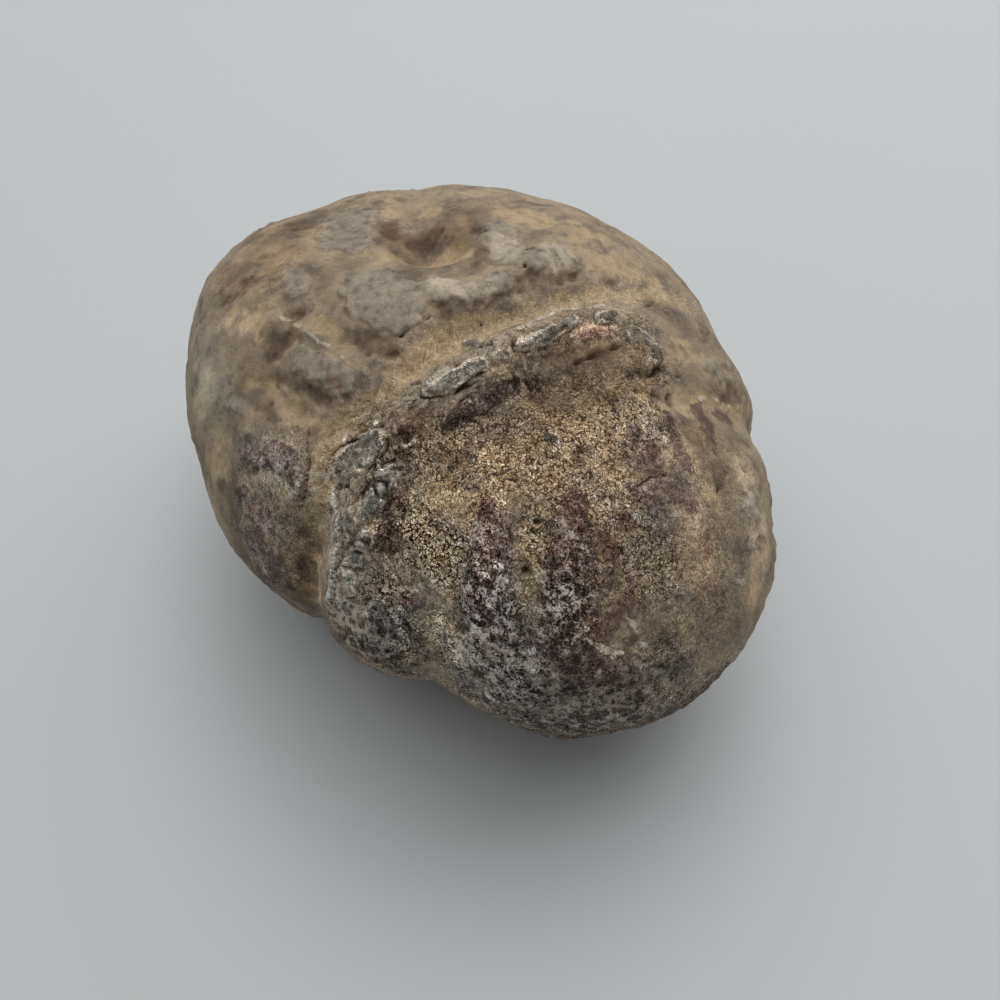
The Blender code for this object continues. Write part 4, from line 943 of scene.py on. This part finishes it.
# Warmth moves the skin towards orange where it is positive and towards blue-grey where it is negative. Most
# entries are the stone's own warmer and cooler colours. The cool entries on the left side (left, lower left, left
# face, far left, left face top) are painted light: the cool sheen of the pale light that falls on that side.
WARMTH = [
    ("left", -0.5, [(-69, 23.5, 6.1), (-67.5, 7, 7.3), (-58.5, 9.5, 3.5)]),
    ("lower left", -0.2, [(-59.5, -10.5, 8.2), (-56, -30.5, 8.5)]),
    ("left face", -0.5, [(-51, -3, 5.5), (-41, -9.5, 3.8)]),
    ("left side of the ledge", -0.4, [(-27, -20.5, 5.6), (-26, -31.5, 4.4)]),
    ("small lobe", -0.3, [(-17, -35.5, 3.6), (-7, -41, 4.9)]),
    ("beside the first finger", -0.4, [(-9, -29.5, 3.7), (-8.5, -37.5, 3.5)]),
    ("foot of the groove", 0.4, [(-37.5, -25.5, 2.1), (-40, -36, 2.6)]),
    ("left of the foot", -0.7, [(0, -42.5, 6.2), (6.5, -44, 6.1), (15.5, -45, 4.1)]),
    ("low on the first finger", -0.6, [(2, -28, 3.8)]),
    ("under the ledge", 0.6, [(25.5, 13, 7.7), (34.5, 12, 6.5), (19, 6, 6.5)]),
    ("ledge", 0.2, [(7, 18.5, 3.4), (20.5, 22.5, 3.5), (29.5, 23, 4.5)]),
    ("upper basin", 0.5, [(-11, 0.5, 4), (1.5, -2, 4.9), (13.5, -0.5, 4.7)]),
    ("second finger", 0.8, [(15.5, -12, 3), (17.5, -17.5, 3.5), (13, -20, 2)]),
    ("right of the basin", 0.3, [(26, -6, 3.5), (19.5, -10.5, 3.1)]),
    ("ribs", 0.6, [(32, -4.5, 2.7), (43.5, -3.5, 4.4)]),
    ("upper pit", 0.6, [(-20, 62.5, 5.9), (-2, 63.5, 6.1)]),
    ("top left", 0.4, [(-54, 61.5, 9.8), (-60.5, 46, 8.3)]),
    ("right rim", 0.4, [(50, -21, 3), (45.5, -29.5, 2.8)]),
    ("low on the right", 0.4, [(21.5, -25.5, 2.4)]),
    ("behind the ledge", -0.4, [(11.5, 32.5, 2.8), (18.5, 33.5, 2.4)]),
    ("upper pit, inside", -0.4, [(-16.5, 66, 2.7), (-7.5, 59.5, 3.6)]),
    ("below the small lobe", 0.6, [(-12.5, -41.5, 2.6), (-5, -41, 2.6)]),
    ("rim of the foot", 0.5, [(14.5, -44.5, 1.9), (18.5, -44, 2)]),
    ("middle of the foot", -0.5, [(7, -32, 2.1)]),
    ("teal flakes", -0.6, [(-17.5, -10, 1.5), (-20, -13.5, 1.6)]),
    ("long flake", 0.1, [(-6.5, 9.5, 1.7), (-1, 12, 1.7)]),
    ("top", 0.2, [(-45.5, 46, 5.2), (-49, 53, 5.2)]),
    ("pits at the right", 0.4, [(41, 14.5, 3.6), (36.5, 11.5, 2.8)]),
    ("ribs, left", 0.4, [(26.5, -4.5, 2.1)]),
    ("foot, right", 0.3, [(25, -36, 2.6), (27, -33.5, 1.9)]),
    ("rust, left", 0.4, [(14.5, -23, 1.3), (16.5, -24.5, 1.4), (16, -29, 1.1)]),
    ("basin", 0.3, [(-6.5, -9.5, 4.9), (8.5, -7.5, 4.9), (23.5, -2.5, 4.7)]),
    ("second finger, foot", 0.5, [(14.5, -25, 2.5), (13.5, -31, 2.9), (15, -37.5, 3.6)]),
    ("dome", 0.3, [(34.5, -17, 3.9), (34.5, -24, 3.2)]),
    ("purple, low", -0.3, [(-46, -21, 4.4), (-48, -31, 4.8)]),
    ("second finger, low", 0.3, [(16, -32.5, 3.6), (18, -39.5, 3.7)]),
    ("far left, cooler", -0.3, [(-82, 35, 11.6), (-82.5, 20, 10)]),
    ("second finger, middle", 0.3, [(13.5, -25.5, 1.9)]),
    ("basin, left", 0.2, [(-4.5, -4, 3.3)]),
    ("dome, middle", -0.2, [(24.5, -23, 2.3)]),
    ("far left, middle", -0.3, [(-68, 15, 4.4)]),
    ("right half", 0.2, [(29, -8, 6.8), (25, -20.5, 5.8), (34.5, -22.5, 5.5)]),
    ("right half, low", 0.1, [(18, -24, 3.7), (33.5, -30, 4)]),
    ("basin, right of the middle", 0.2, [(12, -21, 2.7), (15, -24, 2.4), (7, -18, 2.1)]),
    ("basin, far left", 0.2, [(-15, -4, 2.8), (-6.5, -5, 3.3), (2.5, -17.5, 2.1)]),
    ("second finger, lower", 0.3, [(13.5, -25.5, 1.9)]),
    ("low groove, lower", -0.1, [(-34, -33.5, 1.6), (-39, -37.5, 1.6)]),
    ("second finger, warm", 0.3, [(14, -16, 1.4), (12, -23.5, 1.3), (15.5, -24.5, 1.4)]),
    ("basin top, warm", 0.3, [(8.5, 4, 2.6), (19.5, 6.5, 3.1), (29, 11.5, 2.1)]),
    ("left face, top", -0.3, [(-72.5, 7, 2.1), (-78, 7, 2.1)]),
]
ROUGH = [
    (
        "ledge", 0.5,
        [
            (-22.5, 2, 2.6), (-10.5, 7, 2.5), (0, 12.5, 2.7), (9, 15, 3), (20.5, 20, 3.2),
            (32, 20.5, 2.9),
        ],
    ),
    ("side of the ledge", 0.6, [(-30.5, -9.5, 3.2), (-26.5, -4.5, 4.1), (-21.5, 0.5, 3.1)]),
    ("below the grey flake", 0.7, [(-19.5, -10.5, 3.2), (-22.5, -16.5, 2.9), (-24.5, -25.5, 2.6)]),
    ("bar and knob", 0.7, [(-4.5, 1.5, 1.8), (2, 6, 2.5), (9, 10, 2.5), (15.5, 10, 2.1)]),
    ("right pits", 0.6, [(36.5, 11, 2.1), (42.5, 10, 2.1)]),
    ("foot", 0.3, [(3.5, -40.5, 4.9), (12.5, -42, 4.6), (21, -41.5, 4)]),
    ("fan and fibres", 0.8, [(-15, -0.5, 2), (-15, -4, 2), (-16, -17, 2.2), (-17, -21.5, 1.8)]),
    ("round the small lobe", 0.6, [(-19.5, -30.5, 2), (-13, -30.5, 2.2)]),
]

# Every edge of a marking wanders a little and is eaten into, as the patches of a worn surface are.
WANDER = 0.5  # degrees
wandering = places + WANDER * np.column_stack([
    0.5 * noise_at(3.0, 10) + noise_at(1.1, 20),
    0.5 * noise_at(3.0, 30) + noise_at(1.1, 40),
])


def depth_inside(line):
    """Degrees from each corner to the edge of a line with a changing width: positive inside it."""
    deepest = np.full(len(places), -1e3)
    starts = line[:-1] or line
    for (x, y, wide), (x2, y2, wide2) in zip(starts, line[1:] or line):
        start = np.array([x, y])
        run = np.array([x2 - x, y2 - y])
        along = np.clip((wandering - start) @ run / max(run @ run, 1e-9), 0, 1)
        away = np.hypot(*(wandering - start - along[:, None] * run).T)
        deepest = np.maximum(deepest, wide + along * (wide2 - wide) - away)
    return deepest


def covered(markings, edge, joined=np.maximum):
    """How far each corner is covered, from 0 to 1, with an edge this many degrees wide."""
    most = np.zeros(len(places))
    for _, share, line in markings:
        step = np.clip(depth_inside(line) / edge + 0.5, 0, 1)
        most = joined(most, share * step * step * (3 - 2 * step))
    return most


# The far side is plainer: patches of plate, stain and sediment above, shell and grit on low ribs below.
RIBS = 10
FINISHED_PART = (-3, 18)  # the middle of the part that is dressed with the listed markings, and how far round it goes
FINISHED_REACH = 80
away = np.radians(math.hypot(*FINISHED_PART))
heading = (FINISHED_PART[0] * face_right + FINISHED_PART[1] * face_up) / math.hypot(*FINISHED_PART)
finished_out = math.cos(away) * face_out + math.sin(away) * heading
far = np.degrees(np.arccos(np.clip(directions @ finished_out, -1, 1))) + 5 * noise_at(7, 58)
far = np.clip((far - FINISHED_REACH) / 20, 0, 1)
far = far * far * (3 - 2 * far)
low = far * np.clip((27 - points[:, 2]) / 18, 0, 1)
rib = np.cos(RIBS * np.arctan2(places[:, 1] + 3 * noise_at(9, 50), places[:, 0] + 3 * noise_at(9, 55)))


def far_patches(size, shift):
    return far * np.clip(3 * noise_at(size, shift), 0, 0.9)


rims = np.zeros(len(places))
cracks = np.zeros(len(places))
for _, share, line in FLAKES:
    depth = depth_inside(line) + 0.3 * noise_at(1.2, 47)
    rims = np.maximum(rims, share * np.clip(1.6 - np.abs(depth + 0.3) / 0.35, 0, 1))
    cracks = np.maximum(cracks, share * np.clip(1.5 - np.abs(depth + 1.1) / 0.3, 0, 1))
cracks *= np.clip(0.5 + 2 * noise_at(1.8, 77), 0, 1)

# The sediment, stain and cut attributes carry painted light and shade along with the stone's own colour, as told
# at their lists, and so do tone and warmth.
marks = {
    "sediment": np.maximum(covered(SEDIMENT_AND_PAINTED_LIGHT, 4.0), far_patches(9, 61)),
    "stain": np.maximum(covered(STAINS_AND_PAINTED_SHADE, 3.5), far_patches(5, 63)),
    "grey": np.maximum(covered(GREY_PLATES, 4.0), far_patches(8, 65)),
    "shell": np.maximum(covered(SHELL, 1.8), low * np.clip(0.4 + 0.4 * rib + noise_at(5, 67), 0, 1)),
    "flake": covered(FLAKES, 1.2),
    "rust": covered(RUST, 3.5),
    "crust": np.maximum(covered(CRUST, 1.0), rims),
    "cut": np.maximum.reduce(
        [covered(CUTS_AND_PAINTED_SHADOWS, 0.8), 0.8 * cracks, far * np.clip(6 * (noise_at(1.4, 69) - 0.55), 0, 0.8)]
    ),
}
for number, name in enumerate(marks):
    share = marks[name]
    eaten = 1.0 * noise_at(1.6, 60 + number) + 0.7 * noise_at(0.7, 80 + number)
    marks[name] = share + eaten * 4 * share * (1 - share)
marks["grainy"] = np.maximum(covered(GRAINY, 9.0), low * 0.6)
marks["net"] = np.maximum(covered(NET, 6.0), low * 0.2)
marks["speckle"] = np.maximum(covered(SPECKLE, 6.0), low * 0.3)
marks["tone"] = np.exp(covered(TONES, 3.0, np.add) + far * (0.5 * noise_at(7, 71) + 0.4 * noise_at(2.5, 73)))
marks["warmth"] = covered(WARMTH, 6.0, np.add) + far * noise_at(9, 75)
marks["chipped"] = covered(ROUGH, 4.0) * (1 - 0.75 * marks["flake"])

# Relief in mm along the normals.
normals = np.empty(len(points) * 3)
stone.data.vertices.foreach_get("normal", normals)
normals = normals.reshape(-1, 3)
grit = noise_at(0.75, 80)
raised = {name: np.clip((marks[name] - 0.5) * 4 + 0.5, 0, 1) for name in marks}
rise = 0.13 * raised["shell"] + 0.28 * raised["flake"] - 0.10 * marks["sediment"] - 0.20 * marks["stain"]
rise += 0.20 * raised["grey"]
rise += 0.12 * raised["crust"] - 0.4 * raised["cut"]
rise += (0.05 + 0.09 * marks["grainy"]) * grit + 0.10 * noise_at(1.6, 90) + 0.10 * noise_at(3.5, 95)
rise += marks["chipped"] * (0.40 * noise_at(2.1, 100) + 0.30 * noise_at(1.0, 105) + 0.12 * noise_at(0.55, 110))
rise += far * (0.2 * noise_at(2.5, 73) + 0.1 * rib)
points += rise[:, None] * normals
points[:, 2] = np.maximum(points[:, 2], 0)
stone.data.vertices.foreach_set("co", (points / 1000).ravel())
for name, amounts in marks.items():
    layer = stone.data.attributes.new(name, "FLOAT", "POINT")
    layer.data.foreach_set("value", amounts.astype(np.float32))
stone.data.update()
stone.data.shade_smooth()


def colour(sheet_hex):
    """Linear colour, with alpha, of an sRGB hex value."""
    shares = [int(sheet_hex[i:i + 2], 16) / 255 for i in (1, 3, 5)]
    return [s / 12.92 if s <= 0.04045 else ((s + 0.055) / 1.055) ** 2.4 for s in shares] + [1.0]


def add(tree, kind, inputs=None, **settings):
    """Adds a node with its settings, and links or fills its inputs."""
    node = tree.nodes.new(kind)
    for key, value in settings.items():
        setattr(node, key, value)
    for key, value in (inputs or {}).items():
        if isinstance(value, bpy.types.NodeSocket):
            tree.links.new(value, node.inputs[key])
        else:
            node.inputs[key].default_value = value
    return node


# Weathered limestone: a dull, porous stone with no gloss, mottled where shell, sediment and iron stains
# meet, and gritty to the eye where the sediment is bare.
limestone = bpy.data.materials.new("weathered_limestone")
limestone.use_nodes = True
tree = limestone.node_tree
tree.nodes.clear()
spot = add(tree, "ShaderNodeTexCoord").outputs["Object"]
mm = add(tree, "ShaderNodeMapping", {"Vector": spot, "Scale": (1000, 1000, 1000)}).outputs["Vector"]

noises = {}
for name, size, detail, rough in [
    ("broad", 6.0, 3, 0.55),
    ("blotch", 2.4, 4, 0.6),
    ("mottle", 0.9, 3, 0.6),
    ("fine", 0.32, 1, 0.6),
    ("grain", 0.13, 1, 0.7),
    ("worm", 0.80, 2, 0.6),
    ("curl", 0.45, 1, 0.6),
]:
    place = add(tree, "ShaderNodeMapping", {"Vector": mm, "Location": (len(name), 7 * len(noises), 3)})
    plain = add(
        tree, "ShaderNodeTexNoise",
        {"Vector": place.outputs[0], "Scale": 1 / size, "Detail": detail, "Roughness": rough},
    )
    noises[name] = add(
        tree, "ShaderNodeMapRange", {"Value": plain.outputs["Fac"], "From Min": 0.3, "From Max": 0.7}, clamp=False
    ).outputs[0]
    if name == "fine":
        jitter = plain.outputs["Color"]

# A net of fine pale threads, bent by the same noise that makes the grains.
warped = add(
    tree, "ShaderNodeVectorMath", {0: jitter, 1: (0.7, 0.7, 0.7), 2: mm}, operation="MULTIPLY_ADD"
).outputs[0]
threads = add(
    tree, "ShaderNodeTexVoronoi", {"Vector": warped, "Scale": 1 / 1.3}, feature="DISTANCE_TO_EDGE"
).outputs["Distance"]

# Chips of shell where the stone is broken: cells with a brightness of their own and dark joints.
chips = {}
for name, feature in [("Color", "F1"), ("Distance", "DISTANCE_TO_EDGE")]:
    chips[name] = add(
        tree, "ShaderNodeTexVoronoi", {"Vector": warped, "Scale": 1 / 0.9, "Randomness": 0.9}, feature=feature
    ).outputs[name]

LAYERS = [
    # attribute, darker tone, lighter tone, what makes it ragged and by how much, softness of the edge,
    # and how much dirt lies in the seam round it
    ("grey", "#877d6e", "#beb29e", "mottle", 0.6, 0.28, 0.3),
    # The sediment layer also paints light on the lit ridge and the pit's lower wall. The stain layer also paints
    # shade in the upper pit and under the roll, the ledge and the red band.
    ("sediment", "#af9876", "#d6c09a", "blotch", 0.5, 0.45, 0),
    ("stain", "#6a5949", "#8f7b66", "blotch", 0.7, 0.50, 0),
    ("shell", "#66524a", "#907a6c", "mottle", 0.8, 0.20, 0.35),
    ("flake", "#5e5b53", "#9a9383", "mottle", 0.4, 0.12, 0.35),
    ("rust", "#6f5145", "#94755f", "mottle", 0.7, 0.60, 0),
    ("crust", "#bfb19b", "#e6dac6", "mottle", 0.8, 0.25, 0),
]
skin = add(
    tree, "ShaderNodeMix",
    {0: noises["broad"], 6: colour("#94826c"), 7: colour("#bba98f")},
    data_type="RGBA",
).outputs[2]
for source, low, high, most, tone_hex in [
    (noises["blotch"], 0.55, 0.80, 0.55, "#c9b595"),
    (noises["blotch"], 0.42, 0.15, 0.6, "#80766a"),
    (noises["mottle"], 0.35, 0.05, 0.4, "#73685b"),
]:
    found = add(
        tree, "ShaderNodeMapRange", {"Value": source, "From Min": low, "From Max": high, "To Max": most}
    ).outputs[0]
    skin = add(tree, "ShaderNodeMix", {0: found, 6: skin, 7: colour(tone_hex)}, data_type="RGBA").outputs[2]
for name, dark, light, ragged_by, ragged, soft, dirt in LAYERS:
    amount = add(tree, "ShaderNodeAttribute", attribute_name=name).outputs["Fac"]
    broken = add(tree, "ShaderNodeMath", {0: noises[ragged_by], 1: ragged, 2: amount}, operation="MULTIPLY_ADD")
    middle = 0.5 + 0.5 * ragged
    share = add(
        tree, "ShaderNodeMapRange",
        {"Value": broken.outputs[0], "From Min": middle - soft, "From Max": middle + soft},
        interpolation_type="SMOOTHSTEP",
    ).outputs[0]
    tint = add(
        tree, "ShaderNodeMix", {0: noises["mottle"], 6: colour(dark), 7: colour(light)}, data_type="RGBA"
    ).outputs[2]
    skin = add(tree, "ShaderNodeMix", {0: share, 6: skin, 7: tint}, data_type="RGBA").outputs[2]
    if dirt:
        seam = add(tree, "ShaderNodeMath", {0: share, 1: 0.5}, operation="PINGPONG").outputs[0]
        seam = add(tree, "ShaderNodeMath", {0: seam, 1: 2 * dirt}, operation="MULTIPLY").outputs[0]
        skin = add(
            tree, "ShaderNodeMix", {0: seam, 6: skin, 7: (0.28, 0.22, 0.17, 1)},
            data_type="RGBA", blend_type="MULTIPLY",
        ).outputs[2]

# Tone and warmth multiply the skin. They hold the stone's own paler, darker, warmer and cooler patches, painted
# shade under overhangs, in hollows and on faces that turn down, painted light on the roll, and a cool painted
# sheen on the left side.
tone = add(tree, "ShaderNodeAttribute", attribute_name="tone").outputs["Fac"]
warmth = add(tree, "ShaderNodeAttribute", attribute_name="warmth").outputs["Fac"]
warmth = add(tree, "ShaderNodeMapRange", {"Value": warmth, "From Min": -1}).outputs[0]
tint = add(
    tree, "ShaderNodeMix", {0: warmth, 6: (0.87, 1.0, 1.15, 1), 7: (1.15, 1.0, 0.87, 1)}, data_type="RGBA"
).outputs[2]
for weathering_and_painted_light in (tone, tint):
    skin = add(
        tree, "ShaderNodeMix", {0: 1.0, 6: skin, 7: weathering_and_painted_light}, data_type="RGBA", blend_type="MULTIPLY"
    ).outputs[2]

grainy = add(tree, "ShaderNodeAttribute", attribute_name="grainy").outputs["Fac"]
grit = add(tree, "ShaderNodeMapRange", {"Value": grainy, "To Min": 0.08}).outputs[0]
sand = add(tree, "ShaderNodeMix", {0: 0.65, 2: noises["fine"], 3: noises["grain"]}).outputs[0]
curls = add(tree, "ShaderNodeMath", {0: noises["curl"], 1: 0.5}, operation="PINGPONG").outputs[0]
beside = add(tree, "ShaderNodeMath", {0: noises["curl"], 1: 0.15}, operation="SUBTRACT").outputs[0]
beside = add(tree, "ShaderNodeMath", {0: beside, 1: 0.5}, operation="PINGPONG").outputs[0]
chipped = add(tree, "ShaderNodeAttribute", attribute_name="chipped").outputs["Fac"]
speckle = add(tree, "ShaderNodeAttribute", attribute_name="speckle").outputs["Fac"]
net = add(tree, "ShaderNodeAttribute", attribute_name="net").outputs["Fac"]
for source, low, high, tint, where in [
    (noises["blotch"], 0.40, 0.0, (0.80, 0.80, 0.80, 1), 1.0),
    (noises["blotch"], 0.60, 1.0, (1.12, 1.11, 1.08, 1), 1.0),
    (noises["mottle"], 0.60, 0.0, (0.62, 0.55, 0.46, 1), grit),
    (chips["Color"], 0.55, 0.25, (0.50, 0.45, 0.41, 1), chipped),
    (chips["Color"], 0.50, 0.75, (1.35, 1.35, 1.35, 1), chipped),
    (chips["Distance"], 0.16, 0.05, (0.20, 0.14, 0.10, 1), chipped),
    (sand, 0.62, 0.10, (0.06, 0.025, 0.01, 1), grit),
    (sand, 0.45, 1.0, (2.1, 2.35, 2.75, 1), grit),
    (curls, 0.34, 0.42, (0.07, 0.03, 0.01, 1), grit),
    (noises["mottle"], 0.52, 0.34, (0.30, 0.25, 0.23, 1), speckle),
    (beside, 0.36, 0.46, (1.7, 1.95, 2.2, 1), grit),
]:
    found = add(tree, "ShaderNodeMapRange", {"Value": source, "From Min": low, "From Max": high}).outputs[0]
    amount = add(tree, "ShaderNodeMath", {0: found, 1: where}, operation="MULTIPLY").outputs[0]
    skin = add(
        tree, "ShaderNodeMix", {0: amount, 6: skin, 7: tint}, data_type="RGBA", blend_type="MULTIPLY"
    ).outputs[2]

clumps = add(
    tree, "ShaderNodeMapRange", {"Value": noises["mottle"], "From Min": 0.25, "From Max": 0.65, "To Min": 0.2}
).outputs[0]
worms = add(tree, "ShaderNodeMath", {0: noises["worm"], 1: 0.5}, operation="PINGPONG").outputs[0]
worms = add(tree, "ShaderNodeMath", {0: noises["grain"], 1: 0.20, 2: worms}, operation="MULTIPLY_ADD").outputs[0]
flecks = add(tree, "ShaderNodeMath", {0: noises["fine"], 1: 0.35, 2: noises["mottle"]}, operation="MULTIPLY_ADD")
for source, low, high, tone_hex, most, where in [
    (flecks.outputs[0], 0.93, 1.02, "#e6dacb", 0.9, speckle),
    (worms, 0.50, 0.57, "#fbf3ec", 0.9, speckle),
    (threads, 0.13, 0.06, "#ded3c0", 0.8, net),
]:
    found = add(
        tree, "ShaderNodeMapRange", {"Value": source, "From Min": low, "From Max": high, "To Max": most}
    ).outputs[0]
    amount = add(tree, "ShaderNodeMath", {0: found, 1: where}, operation="MULTIPLY").outputs[0]
    amount = add(tree, "ShaderNodeMath", {0: amount, 1: clumps}, operation="MULTIPLY").outputs[0]
    skin = add(tree, "ShaderNodeMix", {0: amount, 6: skin, 7: colour(tone_hex)}, data_type="RGBA").outputs[2]

# Cracks and pits are painted near-black here. The lines under the flakes, the bar and the red band are painted
# shadow.
amount = add(tree, "ShaderNodeAttribute", attribute_name="cut").outputs["Fac"]
broken = add(tree, "ShaderNodeMath", {0: noises["mottle"], 1: 0.5, 2: amount}, operation="MULTIPLY_ADD")
share = add(
    tree, "ShaderNodeMapRange", {"Value": broken.outputs[0], "From Min": 0.7, "From Max": 1.2, "To Max": 0.9}
).outputs[0]
skin = add(tree, "ShaderNodeMix", {0: share, 6: skin, 7: colour("#3a2e25")}, data_type="RGBA").outputs[2]

height = add(
    tree, "ShaderNodeMath", {0: sand, 1: grit, 2: noises["mottle"]}, operation="MULTIPLY_ADD"
).outputs[0]
height = add(
    tree, "ShaderNodeMath", {0: chips["Color"], 1: chipped, 2: height}, operation="MULTIPLY_ADD"
).outputs[0]
bump = add(tree, "ShaderNodeBump", {"Height": height, "Strength": 0.8, "Distance": 0.0001})
shader = add(
    tree, "ShaderNodeBsdfPrincipled",
    {"Base Color": skin, "Roughness": 0.85, "IOR": 1.5, "Normal": bump.outputs[0]},
)
shader.inputs["Specular IOR Level"].default_value = 0.3
add(tree, "ShaderNodeOutputMaterial", {"Surface": shader.outputs[0]})
stone.data.materials.clear()
stone.data.materials.append(limestone)

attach(stone, "root")
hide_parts("sea_urchin_fossil")


# THE TABLE
# A plain pale sheet, matt and faintly cool.

bpy.ops.object.select_all(action="DESELECT")
bpy.ops.mesh.primitive_plane_add(size=3)
table = bpy.context.object
table.name = "table"
card = bpy.data.materials.new("matt_white_card")
card.use_nodes = True
card_tree = card.node_tree
card_tree.nodes.clear()
card_spot = add(card_tree, "ShaderNodeTexCoord").outputs["Object"]
cloudy = add(card_tree, "ShaderNodeTexNoise", {"Vector": card_spot, "Scale": 9.0, "Detail": 2.0}).outputs["Fac"]
card_skin = add(
    card_tree, "ShaderNodeMix", {0: cloudy, 6: colour("#d5d9da"), 7: colour("#dbdfe0")}, data_type="RGBA"
).outputs[2]
card_shader = add(card_tree, "ShaderNodeBsdfPrincipled", {"Base Color": card_skin, "Roughness": 0.6})
add(card_tree, "ShaderNodeOutputMaterial", {"Surface": card_shader.outputs[0]})
table.data.materials.append(card)


# THE LIGHT
# Two large soft lamps behind the stone, one high on the left and one lower on the right, and pale light all round.

for name, place, watts in [
    ("high_lamp", (-0.204, 0.035, 0.773), 3.5),
    ("back_lamp", (-0.196, 0.531, 0.566), 2.85),
]:
    lamp_data = bpy.data.lights.new(name, "AREA")
    lamp_data.shape = "DISK"
    lamp_data.size = 1.1
    lamp_data.energy = watts
    lamp = bpy.data.objects.new(name, lamp_data)
    lamp.location = place
    lamp.rotation_euler = (-lamp.location).to_track_quat("-Z", "Y").to_euler()
    bpy.context.scene.collection.objects.link(lamp)

room = bpy.data.worlds.new("pale_room")
room.use_nodes = True
room.node_tree.nodes["Background"].inputs["Color"].default_value = colour("#eef1f3")
room.node_tree.nodes["Background"].inputs["Strength"].default_value = 0.17
bpy.context.scene.world = room
bpy.context.scene.view_settings.view_transform = "Standard"
